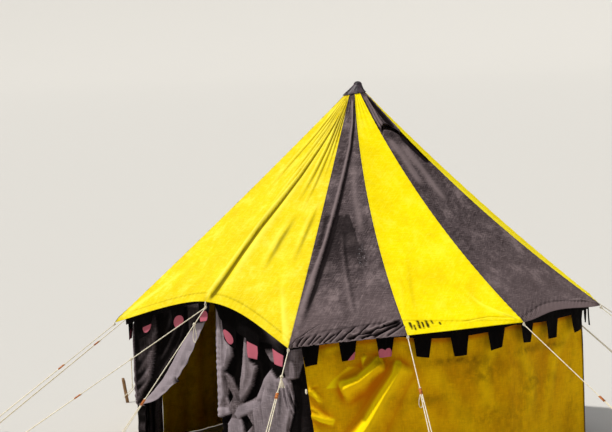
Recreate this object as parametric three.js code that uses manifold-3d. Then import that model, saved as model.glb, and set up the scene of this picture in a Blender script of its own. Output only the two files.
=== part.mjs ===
// A round medieval tent: a twelve-sided canvas roof on one centre pole, a dagged valance, hanging
// walls with an open entrance, and taut guy lines to stakes. Millimetres, +Z up, entrance towards -Y.
// The origin is the middle of the pole's foot, on the ground.
import * as THREE from 'three';
import { mergeVertices } from 'three/addons/utils/BufferGeometryUtils.js';
import Module from 'manifold-3d';

const wasm = await Module();
wasm.setup();

// Driving dimensions
const bays = 12;
const hem_radius = 2900;
const eave_height = 1700;
const peak_height = 4360;
const cloth = 5;
const roof_cloth = 7;
const gap = 0.3;

// Pole and cap
const pole_radius = 45;
const pole_top = 4330;
const neck_radius = 46;
const cap_rim_radius = 136;
const cap_top_radius = 40;
const cap_top = 4395;
const cap_wall = 6;

// Places down the roof, as shares of the way from the peak to the hem
const neck = neck_radius / hem_radius;
const rim = cap_rim_radius / hem_radius;
const cloth_share = cloth / hem_radius;
const wall_inset = 0.075;
const valance_inset = 0.045;
const slope_rows = [0.25, 0.5, 0.75];

// The entrance: the hem is cut away in an arch round corner 0
const entrance_cut = 0.13;

// Curtains: where their edges are round the tent at the roof, at the tie and on the ground
const left_curtain_edge = { top: -0.18, tie: -0.92, foot: -0.95 };
const tie_height = 700;
const sweep_height = 1200;
const sweep_power = 0.6;
const sweep_rows = [0.75, 0.5, 0.25, 0.1, 0];
const right_curtain_edge = -0.08;
const colour_edge = { top: 1.04, foot: 1.22 };

// Valance: a band with three hanging tabs in each bay
const tabs_in_bay = 3;
const band_drop = 45;
const tab_drop = 255;
const valance_droops = { 0: 220, 1: -25, 2: 65, 3: 40 };
const tab_top_half = 0.08;
const tab_bottom_half = 0.055;
const node_step = 1 / 6;

// Hem arches of single bays, as shares of the slope
const hem_arches = { 3: 0.02, 8: 0.02 };

// The vent near the peak: a crescent slit, its ends across the bay and its edges down the slope
const vent = { bay: 3, left: 0.06, right: 0.93, top: 0.17, foot: 0.208, lip: 0.45, steps: 8, reach: 30 };

// Each hem corner against its regular place: out and up in millimetres and round in degrees, then
// how far the seam sags between peak and hem, and how far it bows sideways
const corners = [
  { out: 0, up: 0, turn: 5, sag: 20, bow: 0 },
  { out: -10, up: -85, turn: 3, sag: 30, bow: 0 },
  { out: -10, up: 30, turn: -1, sag: 60, bow: -100 },
  { out: -55, up: 50, turn: -2, sag: 110, bow: -70 },
  { out: 10, up: 50, turn: 0.5, sag: 110, bow: 0 },
  { out: -40, up: -45, turn: 0, sag: 55, bow: 0 },
  { out: 0, up: 0, turn: 0, sag: 60, bow: 0 },
  { out: 0, up: 0, turn: 0, sag: 60, bow: 0 },
  { out: 0, up: 20, turn: 0, sag: 60, bow: 0 },
  { out: 0, up: 0, turn: 0, sag: 60, bow: 0 },
  { out: 0, up: 0, turn: 0, sag: 40, bow: 0 },
  { out: 80, up: -25, turn: 0, sag: 20, bow: 0 },
];

// Guy lines: from which hem corner, how far the stake stands out from it, and its turn off the radius
const rope_radius = 6;
const usual_stake = { run: 2100, turn: 0, slide: 0.3 };
const becket = 26;
const guy_lines = [
  { corner: 1, stakes: [{ run: 1900, turn: 3, slide: 0.27 }] },
  { corner: 2 },
  { corner: 3, stakes: [{ run: 2250, turn: 10, slide: 0.45 }] },
  { corner: 4 },
  { corner: 5 },
  { corner: 6 },
  { corner: 7 },
  { corner: 8 },
  { corner: 9 },
  { corner: 10 },
  { corner: 11 },
  {
    corner: 0,
    becket: 70,
    stakes: [{ run: 1900, turn: 0, slide: 0.5 }, { run: 2900, turn: -40, slide: 0.5 }],
  },
];
const slide_size = { length: 95, width: 34, height: 22 };
const leg_spread = 8;
const knot_profile = [[0, 24], [13, 12], [16, -2], [10, -16], [0, -24]];
const becket_radius = 5;

// Stakes, leaning away from the tent
const stake_size = { width: 36, height: 330, lean: 0.27, taper: 6 };
const loop_height = 75;

// Colours
const canvas_yellow = material(0xf6e416, 0.85, 0);
const canvas_black = material(0x4a4144, 0.8, 0);
const cap_leather = material(0x2a2226, 0.5, 0);
const pole_wood = material(0xa9763f, 0.7, 0);
const stake_wood = material(0x8d6a44, 0.8, 0);
const rope_hemp = material(0xd9cfb4, 0.9, 0);

function material(color, roughness, metalness) {
  return new THREE.MeshStandardMaterial({ color, roughness, metalness });
}

const tent = new THREE.Group();

function addPiece(name, geometry, finish) {
  const mesh = new THREE.Mesh(geometry, finish);
  mesh.name = name;
  tent.add(mesh);
  return mesh;
}

// The roof surface. A place round the tent is a number of bays, whole at a corner; a place down the
// slope is a share, 0 at the peak and 1 at the regular hem.
function radial(angle, radius, height) {
  return new THREE.Vector3(radius * Math.sin(angle), -radius * Math.cos(angle), height);
}

function cornerOf(index) {
  const values = corners[(index + bays) % bays];
  const regular = (index * 2 * Math.PI) / bays;
  return { ...values, regular, angle: regular + THREE.MathUtils.degToRad(values.turn) };
}

function roundDirection(index) {
  const { regular } = cornerOf(index);
  return new THREE.Vector3(Math.cos(regular), Math.sin(regular), 0);
}

function conePoint(index, share) {
  const { regular } = cornerOf(index);
  const drop = (peak_height - eave_height) * share;
  return radial(regular, hem_radius * share, peak_height - drop);
}

function seamPoint(index, share) {
  if (share <= rim) return conePoint(index, share);
  const { out, up, angle, sag, bow } = cornerOf(index);
  const along = (share - rim) / (1 - rim);
  const hang = 4 * along * (1 - along);
  const point = conePoint(index, rim).lerp(radial(angle, hem_radius + out, eave_height + up), along);
  const inward = radial(angle, 1, 0).negate();
  return point
    .addScaledVector(inward, 0.67 * sag * hang)
    .addScaledVector(new THREE.Vector3(0, 0, -1), 0.74 * sag * hang)
    .addScaledVector(roundDirection(index), bow * hang);
}

function roofPoint(place, share) {
  const index = Math.floor(place);
  return seamPoint(index, share).lerp(seamPoint(index + 1, share), place - index);
}

// The line of the eaves: the regular hem, and the arch over the entrance
function eaveLine(place) {
  const off_entrance = Math.abs(place - bays * Math.round(place / bays));
  if (off_entrance >= 1) return 1;
  return 1 - entrance_cut * Math.cos((off_entrance * Math.PI) / 2);
}

function hemLine(place) {
  const index = ((Math.floor(place) % bays) + bays) % bays;
  const along = place - Math.floor(place);
  const arch = hem_arches[index] ?? 0;
  return eaveLine(place) - arch * Math.sin(Math.PI * along) ** 2;
}

// A point on a line that runs round the roof at one inset from the eaves, straight between nodes
function insetPoint(place, inset) {
  const before = Math.floor(place / node_step + 1e-6) * node_step;
  const along = (place - before) / node_step;
  const first = roofPoint(before + 1e-9, eaveLine(before) - inset);
  if (along < 1e-6) return first;
  const after = before + node_step;
  return first.lerp(roofPoint(after - 1e-9, eaveLine(after) - inset), along);
}

// A closed sheet between an outer and an inner grid of points, both with the same rows and columns
function sheetSolid(outer, inner) {
  const rows = outer.length;
  const columns = outer[0].length;
  const count = rows * columns;
  const points = [...outer.flat(), ...inner.flat()];
  const faces = [];
  const at = (row, column) => row * columns + column;
  const quad = (a, b, c, d) => faces.push(a, b, c, a, c, d);
  for (let row = 0; row + 1 < rows; row += 1) {
    for (let column = 0; column + 1 < columns; column += 1) {
      const corners_of_cell = [at(row, column), at(row + 1, column), at(row + 1, column + 1), at(row, column + 1)];
      quad(...corners_of_cell);
      const [a, b, c, d] = corners_of_cell.map((index) => index + count);
      faces.push(a, c, b, a, d, c);
    }
  }
  const edge = [];
  for (let column = 0; column + 1 < columns; column += 1) edge.push(at(0, column));
  for (let row = 0; row + 1 < rows; row += 1) edge.push(at(row, columns - 1));
  for (let column = columns - 1; column > 0; column -= 1) edge.push(at(rows - 1, column));
  for (let row = rows - 1; row > 0; row -= 1) edge.push(at(row, 0));
  edge.forEach((from, index) => {
    const to = edge[(index + 1) % edge.length];
    quad(from, to, to + count, from + count);
  });
  const geometry = new THREE.BufferGeometry();
  geometry.setAttribute('position', new THREE.Float32BufferAttribute(points.flatMap((p) => p.toArray()), 3));
  geometry.setIndex(faces);
  geometry.computeVertexNormals();
  return geometry;
}

// Places round the tent from one corner to another, with nodes where a line isn't straight
function placesBetween(from, to, nodes) {
  const places = [from];
  for (let bay = from; bay < to; bay += 1) {
    nodes(bay).forEach((along) => places.push(bay + along));
    places.push(bay + 1);
  }
  return places;
}

function shrinkEnds(row, from, to) {
  row[0].addScaledVector(roundDirection(from), gap / 2);
  row[row.length - 1].addScaledVector(roundDirection(to), -gap / 2);
  return row;
}

function lowered(grid, depth) {
  return grid.map((row) => row.map((point) => point.clone().setZ(point.z - depth)));
}

// Roof panels
function isCurved(bay) {
  const index = (bay + bays) % bays;
  return index in hem_arches || index === 0 || index === bays - 1;
}

function roofNodes(bay) {
  if (!isCurved(bay)) return [];
  return [1, 2, 3, 4, 5].map((step) => step * node_step);
}

function shareRows(place) {
  const wall = eaveLine(place) - wall_inset;
  const valance = eaveLine(place) - valance_inset;
  const half = cloth_share / 2;
  const slope = slope_rows.map((along) => rim + along * (wall - half - rim));
  return [neck, rim, ...slope, wall - half, wall + half, valance - half, valance + half, hemLine(place)];
}

function roofPanel(from, to) {
  const places = placesBetween(from, to, roofNodes);
  const shares = places.map(shareRows);
  const grid = shares[0].map((_, row) => {
    const points = places.map((place, column) => {
      const inside = place === to ? place - 1e-9 : place;
      return roofPoint(inside, shares[column][row]);
    });
    return shrinkEnds(points, from, to);
  });
  return sheetSolid(grid, lowered(grid, roof_cloth));
}

// The vent's slit, cut through its panel
function withVent(panel) {
  const columns = Array.from({ length: vent.steps + 1 }, (_, step) => step / vent.steps);
  const edge = (height) => columns.map((along) => {
    const place = vent.bay + vent.left + (vent.right - vent.left) * along;
    const rise = (vent.foot - vent.top) * (0.04 + Math.sin(Math.PI * along)) * height;
    return roofPoint(place, vent.foot - rise);
  });
  const slit = [edge(1), edge(vent.lip)];
  const cutter = sheetSolid(lowered(slit, -vent.reach), lowered(slit, vent.reach));
  return fromSolid(solid(panel).subtract(solid(cutter)));
}

const roof_panels = [
  { name: 'roof_panel_entrance', from: -1, to: 1, finish: canvas_yellow },
  { name: 'roof_panel_1', from: 1, to: 2, finish: canvas_black },
  { name: 'roof_panel_2', from: 2, to: 3, finish: canvas_yellow },
  { name: 'roof_panel_3', from: 3, to: 4, finish: canvas_black },
  { name: 'roof_panel_4', from: 4, to: 5, finish: canvas_yellow },
  { name: 'roof_panel_back', from: 5, to: 7, finish: canvas_black },
  { name: 'roof_panel_7', from: 7, to: 8, finish: canvas_yellow },
  { name: 'roof_panel_8', from: 8, to: 9, finish: canvas_black },
  { name: 'roof_panel_9', from: 9, to: 10, finish: canvas_yellow },
  { name: 'roof_panel_10', from: 10, to: 11, finish: canvas_black },
];
roof_panels.forEach(({ name, from, to, finish }) => {
  const panel = roofPanel(from, to);
  addPiece(name, from === vent.bay ? withVent(panel) : panel, finish);
});

// Valance
function tabNodes() {
  const nodes = [];
  for (let tab = 0; tab < tabs_in_bay; tab += 1) {
    const middle = (tab + 0.5) / tabs_in_bay;
    nodes.push({ along: middle - tab_top_half, drop: band_drop });
    nodes.push({ along: middle - tab_bottom_half, drop: tab_drop });
    nodes.push({ along: middle, drop: tab_drop });
    nodes.push({ along: middle + tab_bottom_half, drop: tab_drop });
    nodes.push({ along: middle + tab_top_half, drop: band_drop });
    if (tab + 1 < tabs_in_bay) nodes.push({ along: (tab + 1) / tabs_in_bay, drop: band_drop });
  }
  return nodes;
}

// Cloth that hangs from the roof: its upper row follows the roof's underside, and each lower row is
// given as a place round the tent and a height for every place of the upper row
function hungSheet(places, inset, lower_rows) {
  const face = (side) => {
    const line = inset - (side * cloth_share) / 2;
    const top = places.map((place) => insetPoint(place, line));
    top.forEach((point) => point.setZ(point.z - roof_cloth - gap));
    const lower = lower_rows.map((row) => row.map(([place, height]) => insetPoint(place, line).setZ(height)));
    return [top, ...lower].map(pullEnds);
  };
  return sheetSolid(face(1), face(-1));
}

function pullEnds(row) {
  const last = row.length - 1;
  const step = (from, to) => row[to].clone().sub(row[from]).setZ(0).setLength(gap / 2);
  const [start, end] = [step(0, 1), step(last, last - 1)];
  row[0].add(start);
  row[last].add(end);
  return row;
}

function valance(from, to) {
  const nodes = tabNodes();
  const outline = [[from, band_drop]];
  for (let bay = from; bay < to; bay += 1) {
    nodes.forEach(({ along, drop }) => outline.push([bay + along, drop]));
    outline.push([bay + 1, band_drop]);
  }
  const places = outline.map(([place]) => place);
  const bottom = outline.map(([place, drop]) => [place, insetPoint(place, 0).z - drop - droop(place)]);
  return hungSheet(places, valance_inset, [bottom]);
}

// How much further the valance hangs between two corners than the hem does
function droop(place) {
  const along = place - Math.floor(place);
  return (valance_droops[Math.floor(place)] ?? 0) * 4 * along * (1 - along);
}

addPiece('valance_entrance', valance(-2, 1), canvas_black);
addPiece('valance_right', valance(1, 4), canvas_black);
addPiece('valance_back', valance(4, 7), canvas_black);
addPiece('valance_left', valance(7, 10), canvas_black);

// Walls, hanging from the roof to the ground
function onGround(places) {
  return places.map((place) => [place, 0]);
}

function straightWall(from, to) {
  const places = placesBetween(from, to, () => []);
  return hungSheet(places, wall_inset, [onGround(places)]);
}

function wallFromEdge(edge, to) {
  const rest = placesBetween(Math.ceil(edge.top), to, () => []);
  return hungSheet([edge.top, ...rest], wall_inset, [onGround([edge.foot, ...rest])]);
}

function rightCurtain() {
  const places = [right_curtain_edge, ...placesBetween(0, 1, roofNodes)];
  return hungSheet([...places, colour_edge.top], wall_inset, [onGround([...places, colour_edge.foot])]);
}

// The left curtain hangs straight in its first bay. Its loose edge is swept back to the tie.
function sweptEdge(rise) {
  const { top, tie } = left_curtain_edge;
  return tie + (top - tie) * rise ** sweep_power;
}

function leftCurtain(from, corner) {
  const straight = placesBetween(from, corner, () => []);
  const loose = roofNodes(corner).map((along) => corner + along).filter((place) => place < left_curtain_edge.top);
  const swept = [...loose, left_curtain_edge.top];
  const reach = left_curtain_edge.top - corner;
  const gathered = (edge) => swept.map((place) => corner + ((place - corner) / reach) * (edge - corner));
  const row = (edge, height) => [...straight, ...gathered(edge)].map((place) => [place, height]);
  const rows = sweep_rows.map((rise) => row(sweptEdge(rise), tie_height + sweep_height * rise));
  return hungSheet([...straight, ...swept], wall_inset, [...rows, row(left_curtain_edge.foot, 0)]);
}

addPiece('wall_right', wallFromEdge(colour_edge, 4), canvas_yellow);
addPiece('wall_back', straightWall(4, 7), canvas_black);
addPiece('wall_left', straightWall(7, 10), canvas_yellow);
addPiece('entrance_curtain_right', rightCurtain(), canvas_black);
addPiece('entrance_curtain_left', leftCurtain(-2, -1), canvas_black);

// Centre pole
const pole = new THREE.CylinderGeometry(pole_radius, pole_radius, pole_top, bays);
pole.rotateX(Math.PI / 2);
pole.translate(0, 0, pole_top / 2);
addPiece('centre_pole', pole, pole_wood);

// Pole cap: a blunt cone that lies on the roof and over the pole's end
function ring(radius, height) {
  return Array.from({ length: bays }, (_, index) => radial((index * 2 * Math.PI) / bays, radius, height));
}

function closedRings(rings) {
  const points = rings.flat();
  const faces = [];
  rings.slice(1).forEach((_, level) => {
    for (let side = 0; side < bays; side += 1) {
      const next = (side + 1) % bays;
      const [a, b] = [level * bays + side, level * bays + next];
      faces.push(a, a + bays, b + bays, a, b + bays, b);
    }
  });
  const last = (rings.length - 1) * bays;
  for (let side = 1; side + 1 < bays; side += 1) {
    faces.push(0, side, side + 1);
    faces.push(last, last + side + 1, last + side);
  }
  const geometry = new THREE.BufferGeometry();
  geometry.setAttribute('position', new THREE.Float32BufferAttribute(points.flatMap((p) => p.toArray()), 3));
  geometry.setIndex(faces);
  geometry.computeVertexNormals();
  return geometry;
}

function onRoof(share) {
  return peak_height - (peak_height - eave_height) * share + gap;
}

const cap_rings = [
  ring(cap_top_radius, cap_top),
  ring(cap_rim_radius, onRoof(rim) + cap_wall),
  ring(cap_rim_radius, onRoof(rim)),
  ring(neck_radius, onRoof(neck)),
  ring(neck_radius, pole_top + gap),
];
addPiece('pole_cap', closedRings(cap_rings), cap_leather);

// Guy lines and stakes
function solid(geometry) {
  const bare = geometry.clone();
  bare.deleteAttribute('normal');
  bare.deleteAttribute('uv');
  const merged = mergeVertices(bare, 1e-3);
  const mesh = new wasm.Mesh({
    numProp: 3,
    vertProperties: new Float32Array(merged.attributes.position.array),
    triVerts: new Uint32Array(merged.index.array),
  });
  return new wasm.Manifold(mesh);
}

function fromSolid(manifold) {
  const mesh = manifold.getMesh();
  const geometry = new THREE.BufferGeometry();
  geometry.setAttribute('position', new THREE.BufferAttribute(mesh.vertProperties, 3));
  geometry.setIndex(new THREE.BufferAttribute(mesh.triVerts, 1));
  geometry.computeVertexNormals();
  return geometry;
}

function bar(from, to, radius) {
  const along = to.clone().sub(from);
  const geometry = new THREE.CylinderGeometry(radius, radius, along.length(), 8);
  const turn = new THREE.Quaternion().setFromUnitVectors(new THREE.Vector3(0, 1, 0), along.normalize());
  geometry.applyQuaternion(turn);
  geometry.translate(...from.clone().lerp(to, 0.5).toArray());
  return geometry;
}

function lineFrame(corner, knot_drop, stake) {
  const hem = roofPoint(corner + 1e-9, hemLine(corner));
  const top = hem.clone().setZ(hem.z - roof_cloth - gap);
  const knot = top.clone().setZ(top.z - knot_drop);
  const angle = Math.atan2(hem.x, -hem.y) + THREE.MathUtils.degToRad(stake.turn);
  const out = radial(angle, 1, 0);
  const foot = top.clone().addScaledVector(out, stake.run).setZ(0);
  const side = new THREE.Vector3(Math.cos(angle), Math.sin(angle), 0);
  return { ...stake, top, knot, out, foot, side };
}

function loopMiddle({ out, foot }) {
  const back = loop_height * stake_size.lean + stake_size.width / 2;
  const clear = (rope_radius + gap) / Math.cos(Math.atan(stake_size.lean));
  return foot.clone().addScaledVector(out, back + clear).setZ(loop_height);
}

function guyRope(frame) {
  const { knot, side } = frame;
  const loop = loopMiddle(frame);
  const slide_middle = knot.clone().lerp(loop, frame.slide);
  const half = stake_size.width / 2 + rope_radius + 3 * gap;
  const near = (sign) => slide_middle.clone().addScaledVector(side, sign * leg_spread);
  const far = (sign) => loop.clone().addScaledVector(side, sign * half);
  const slide = new THREE.BoxGeometry(slide_size.width, slide_size.height, slide_size.length);
  const along = loop.clone().sub(knot).normalize();
  const basis = new THREE.Matrix4().makeBasis(side, along.clone().cross(side), along);
  slide.applyMatrix4(basis);
  slide.translate(...slide_middle.toArray());
  return [
    bar(knot, slide_middle, rope_radius),
    slide,
    bar(near(-1), far(-1), rope_radius),
    bar(near(1), far(1), rope_radius),
    bar(far(-1), far(1), rope_radius),
  ];
}

function knotGeometry(middle) {
  const profile = knot_profile.map(([x, y]) => new THREE.Vector2(x, y)).reverse();
  const knot = new THREE.LatheGeometry(profile, 8);
  knot.rotateX(Math.PI / 2);
  knot.translate(...middle.toArray());
  return knot;
}

// The short loop from the hem corner down to the knot, ending in a point under the cloth
function becketGeometry(top, knot) {
  const length = top.z - knot.z;
  const profile = [[0, 0], [becket_radius, becket_radius], [becket_radius, length - 2 * becket_radius], [0, length]];
  const loop = new THREE.LatheGeometry(profile.map(([x, y]) => new THREE.Vector2(x, y)), 8);
  loop.rotateX(Math.PI / 2);
  loop.translate(...knot.toArray());
  return loop;
}

function stakeGeometry({ out, foot }) {
  const { width, height, lean, taper } = stake_size;
  const shape = new THREE.Shape();
  const half = width / 2;
  const shift = height * lean;
  shape.moveTo(-half, 0);
  shape.lineTo(half, 0);
  shape.lineTo(half + shift * 0.9, height * 0.9);
  shape.lineTo(half + shift - taper, height);
  shape.lineTo(-half + shift + taper, height);
  shape.lineTo(-half + shift * 0.9, height * 0.9);
  const post = new THREE.ExtrudeGeometry(shape, { depth: width, bevelEnabled: false, steps: 1 });
  post.translate(0, 0, -half);
  const up = new THREE.Vector3(0, 0, 1);
  post.applyMatrix4(new THREE.Matrix4().makeBasis(out, up, out.clone().cross(up)));
  post.translate(...foot.toArray());
  return post;
}

guy_lines.forEach(({ corner, becket: own_becket, stakes = [usual_stake] }) => {
  const frames = stakes.map((stake) => lineFrame(corner, own_becket ?? becket, { ...usual_stake, ...stake }));
  const { top, knot } = frames[0];
  const pieces = [becketGeometry(top, knot), knotGeometry(knot), ...frames.flatMap(guyRope)];
  const rope = pieces.map(solid).reduce((whole, piece) => whole.add(piece));
  const label = corner === 0 ? 'entrance' : `${corner}`;
  addPiece(`guy_line_${label}`, fromSolid(rope), rope_hemp);
  frames.forEach((frame, index) => {
    const stake_label = frames.length > 1 ? `${label}_${index + 1}` : label;
    addPiece(`stake_${stake_label}`, stakeGeometry(frame), stake_wood);
  });
});

export default tent;
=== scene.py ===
# The looks of a round medieval tent: canvas gores, a dagged valance, hanging walls and curtains, a
# leather cap, and rope guy lines with wooden slides and stakes. Metres, +Z up, entrance towards -Y.
import math

import bmesh
import bpy
import numpy as np
from mathutils import Matrix, Vector


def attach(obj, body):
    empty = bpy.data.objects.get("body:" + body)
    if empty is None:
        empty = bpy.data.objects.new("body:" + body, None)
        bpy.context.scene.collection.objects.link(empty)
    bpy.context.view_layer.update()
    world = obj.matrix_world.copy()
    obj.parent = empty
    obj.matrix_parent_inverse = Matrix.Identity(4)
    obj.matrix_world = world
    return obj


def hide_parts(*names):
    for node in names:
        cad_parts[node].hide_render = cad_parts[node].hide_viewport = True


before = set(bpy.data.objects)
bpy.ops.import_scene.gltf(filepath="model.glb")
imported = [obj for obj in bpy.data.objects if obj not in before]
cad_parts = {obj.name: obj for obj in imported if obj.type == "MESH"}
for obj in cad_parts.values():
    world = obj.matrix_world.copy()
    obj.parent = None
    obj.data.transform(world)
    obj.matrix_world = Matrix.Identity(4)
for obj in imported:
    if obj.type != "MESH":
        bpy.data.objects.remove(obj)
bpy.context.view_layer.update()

# Driving dimensions, the same as the solids'
BAYS = 12
BAY_TURN = 2 * math.pi / BAYS
HEM_RADIUS = 2.9
EAVE_HEIGHT = 1.7
PEAK_HEIGHT = 4.36
SLOPE_LENGTH = math.hypot(HEM_RADIUS, PEAK_HEIGHT - EAVE_HEIGHT)
GORE_WIDTH = 2 * HEM_RADIUS * math.sin(BAY_TURN / 2)
NECK = 0.046 / HEM_RADIUS
RIM = 0.136 / HEM_RADIUS
POLE_RADIUS = 0.045
POLE_TOP = 4.33
ENTRANCE_CUT = 0.13
HEM_ARCHES = {3: 0.02, 8: 0.02}
WALL_INSET = 0.075
VALANCE_INSET = 0.045
UP = np.array([0.0, 0.0, 1.0])
SLOPE_OUT = 0.67
SLOPE_UP = 0.74

# Each hem corner: out, up, turn in degrees, sag of its seam, sideways bow of its seam
CORNERS = [
    (0, 0, 5, 0.02, 0),
    (-0.01, -0.085, 3, 0.03, 0),
    (-0.01, 0.03, -1, 0.06, -0.1),
    (-0.055, 0.05, -2, 0.11, -0.07),
    (0.01, 0.05, 0.5, 0.11, 0),
    (-0.04, -0.045, 0, 0.055, 0),
    (0, 0, 0, 0.06, 0),
    (0, 0, 0, 0.06, 0),
    (0, 0.02, 0, 0.06, 0),
    (0, 0, 0, 0.06, 0),
    (0, 0, 0, 0.04, 0),
    (0.08, -0.025, 0, 0.02, 0),
]

# How far seams are drawn sideways where the gores are gathered under the cap
SEAM_LEADS = {1: -0.032, 2: -0.04, 3: -0.05}

# Curtains and walls: where their edges are round the tent
LEFT_CURTAIN = {"top": -0.18, "tie": -0.92, "foot": -0.95}
TIE_HEIGHT = 0.7
SWEEP_HEIGHT = 1.2
SWEEP_POWER = 0.6
RIGHT_CURTAIN_EDGE = -0.08
COLOUR_EDGE = {"top": 1.04, "foot": 1.22}

# Valance
TABS_IN_BAY = 3
BAND_DROP = 0.045
TAB_DROP = 0.255
VALANCE_DROOPS = {1: -0.025, 2: 0.065, 3: 0.04}
ENTRANCE_DROOP = 0.27
TAB_TOP_HALF = 0.08
TAB_BOTTOM_HALF = 0.055

# The vent in gore 3: a crescent slit, its ends across the bay and its edges down the slope
VENT = {"bay": 3, "left": 0.0, "right": 0.96, "foot": 0.213, "rise": 0.044, "lip": 0.03}

# Guy lines
ROPE_RADIUS = 0.006
USUAL_STAKE = {"run": 2.1, "turn": 0, "slide": 0.3}
BECKET = 0.026
GUY_LINES = {
    0: (0.07, [{"run": 1.9, "slide": 0.5}, {"run": 2.9, "turn": -40, "slide": 0.5}]),
    1: (BECKET, [{"run": 1.9, "turn": 3, "slide": 0.27}]),
    3: (BECKET, [{"run": 2.25, "turn": 10, "slide": 0.45}]),
}
KNOT_RADIUS = {"eye": 0.009, "slide": 0.008, "tail": 0.012}
BECKET_HALF = 0.012
SLIDE = {"length": 0.095, "width": 0.034, "height": 0.0154, "edge": 0.005}
PAST_SLIDE = 0.045
LEG_SPREAD = 0.008
STAKE = {"width": 0.036, "height": 0.33, "lean": 0.27, "worn": 0.22, "worn_from": 0.88, "rough": 0.03}
LOOP_HEIGHT = 0.075
GAP = 0.0003
CANVAS = 0.002


# The roof surface: a place round the tent in bays, and a share of the way from peak to regular hem
def radial(angle, radius, height):
    """Points by their angle round the pole, 0 at the entrance and growing to its right."""
    parts = np.broadcast_arrays(radius * np.sin(angle), -radius * np.cos(angle), height)
    return np.stack(parts, -1)


def seam_point(index, share):
    out, up, turn, sag, bow = CORNERS[index % BAYS]
    regular = index * BAY_TURN
    angle = regular + math.radians(turn)
    share = np.asarray(share, float)
    on_cone = np.minimum(share, RIM)
    drop = (PEAK_HEIGHT - EAVE_HEIGHT) * on_cone
    start = radial(regular, HEM_RADIUS * on_cone, PEAK_HEIGHT - drop)
    end = radial(angle, HEM_RADIUS + out, EAVE_HEIGHT + up)
    along = (np.maximum(share - RIM, 0) / (1 - RIM))[..., None]
    sideways = np.array([math.cos(regular), math.sin(regular), 0])
    pull = -SLOPE_OUT * sag * radial(angle, 1, 0) - SLOPE_UP * sag * UP + bow * sideways
    gathered = np.minimum(share / RIM, 1)[..., None] * (1 - along)
    lead = SEAM_LEADS.get(index % BAYS, 0) * gathered * sideways
    return start + (end - start) * along + 4 * along * (1 - along) * pull + lead


def roof_point(place, share):
    place, share = np.broadcast_arrays(np.asarray(place, float), np.asarray(share, float))
    index = np.floor(place).astype(int)
    points = np.empty(place.shape + (3,))
    for bay in np.unique(index):
        here = index == bay
        left, right = (seam_point(bay + side, share[here]) for side in (0, 1))
        points[here] = left + (right - left) * (place[here] - bay)[:, None]
    return points


def eave_line(place):
    off_entrance = np.abs(place - BAYS * np.round(place / BAYS))
    cut = ENTRANCE_CUT * np.cos(np.minimum(off_entrance, 1) * math.pi / 2)
    return 1 - cut


def in_bay(place):
    """The bay that a place lies in, and how far across the bay, 0 to 1."""
    first = np.floor(place)
    return first % BAYS, place - first


def of_bays(bay, values):
    """The value of each point's bay, 0 where the bay has none."""
    return sum(np.where(bay == number, value, 0) for number, value in values.items())


def hem_line(place):
    bay, along = in_bay(place)
    return eave_line(place) - of_bays(bay, HEM_ARCHES) * np.sin(np.pi * along) ** 2


def outward(place):
    return radial(place * BAY_TURN, 1, 0)


def off_slope(angle):
    """The way out of the roof's slope."""
    return SLOPE_OUT * radial(angle, 1, 0) + SLOPE_UP * UP


def bell(value, half, middle=0.0):
    """1 at the middle, and less to both sides of it."""
    return np.exp(-(((value - middle) / half) ** 2))


def across(place, share):
    """The width of cloth up to a place, at a share of the slope."""
    return place * GORE_WIDTH * share


# Folds along routes of points. Across is to the right and down is down the cloth, so the side that a
# route has on its right is also on the right for someone who looks at the tent.
def beside_route(x, y, route):
    """How far points lie to the right of a route, negative to its left, and their share along it."""
    nearest = np.full(np.shape(x), np.inf)
    signed_away = np.zeros(np.shape(x))
    along_route = np.zeros(np.shape(x))
    steps = [math.dist(a, b) for a, b in zip(route, route[1:])]
    total, done = sum(steps), 0
    for (ax, ay), (bx, by), step in zip(route, route[1:], steps):
        right, down = bx - ax, by - ay
        share = np.clip(((x - ax) * right + (y - ay) * down) / step**2, 0, 1)
        away = np.hypot(x - ax - share * right, y - ay - share * down)
        side = np.where(down * (x - ax) - right * (y - ay) >= 0, 1, -1)
        closer = away < nearest
        nearest = np.where(closer, away, nearest)
        signed_away = np.where(closer, away * side, signed_away)
        along_route = np.where(closer, (done + share * step) / total, along_route)
        done += step
    return signed_away, along_route


def between(ends, along):
    """A value that may change along a route."""
    first, last = ends if isinstance(ends, tuple) else (ends, ends)
    return first + (last - first) * along


def fade(along, taper):
    rise = np.clip(along / max(taper[0], 1e-6), 0, 1)
    fall = np.clip((1 - along) / max(taper[1], 1e-6), 0, 1)
    return rise * rise * (3 - 2 * rise) * fall * fall * (3 - 2 * fall)


def ridge(x, y, route, width, height, taper=(0.15, 0.15)):
    """A fold that stands up, or a valley where the height is negative."""
    away, along = beside_route(x, y, route)
    lean = away / between(width, along)
    return between(height, along) * np.exp(-lean * lean) * fade(along, taper)


def crease(x, y, route, width, height, taper=(0.1, 0.1)):
    """A sharp fold: two flanks, each with its own width, that meet at its route."""
    away, along = beside_route(x, y, route)
    left, right = (between(side, along) for side in width)
    flank = np.clip(np.minimum(1 + away / left, 1 - away / right), 0, 1)
    return between(height, along) * (0.7 * flank + 0.3 * flank * flank) * fade(along, taper)


# The largest value of lean * exp(-lean * lean), by which a pleat is scaled to its height
PLEAT_PEAK = 0.429


def pleat(x, y, route, width, height, taper=(0.1, 0.3)):
    """A fold that stands up to the left of its route and falls away steeply to the right."""
    away, along = beside_route(x, y, route)
    lean = away / between(width, along)
    return -between(height, along) * lean * np.exp(-lean * lean) / PLEAT_PEAK * fade(along, taper)


# The width of a bay where the walls hang
WALL_WIDTH = 0.9 * GORE_WIDTH


def on_roof(place, share, folds):
    """The sum of folds: shape, route of places and shares, width and height, each one or two, and a taper."""
    total = 0
    for shape, route, *sizes in folds:
        base = route[0][0]
        flat = [(across(p - base, s), s * SLOPE_LENGTH) for p, s in route]
        total = total + shape(across(place - base, share), share * SLOPE_LENGTH, flat, *sizes)
    return total


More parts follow.
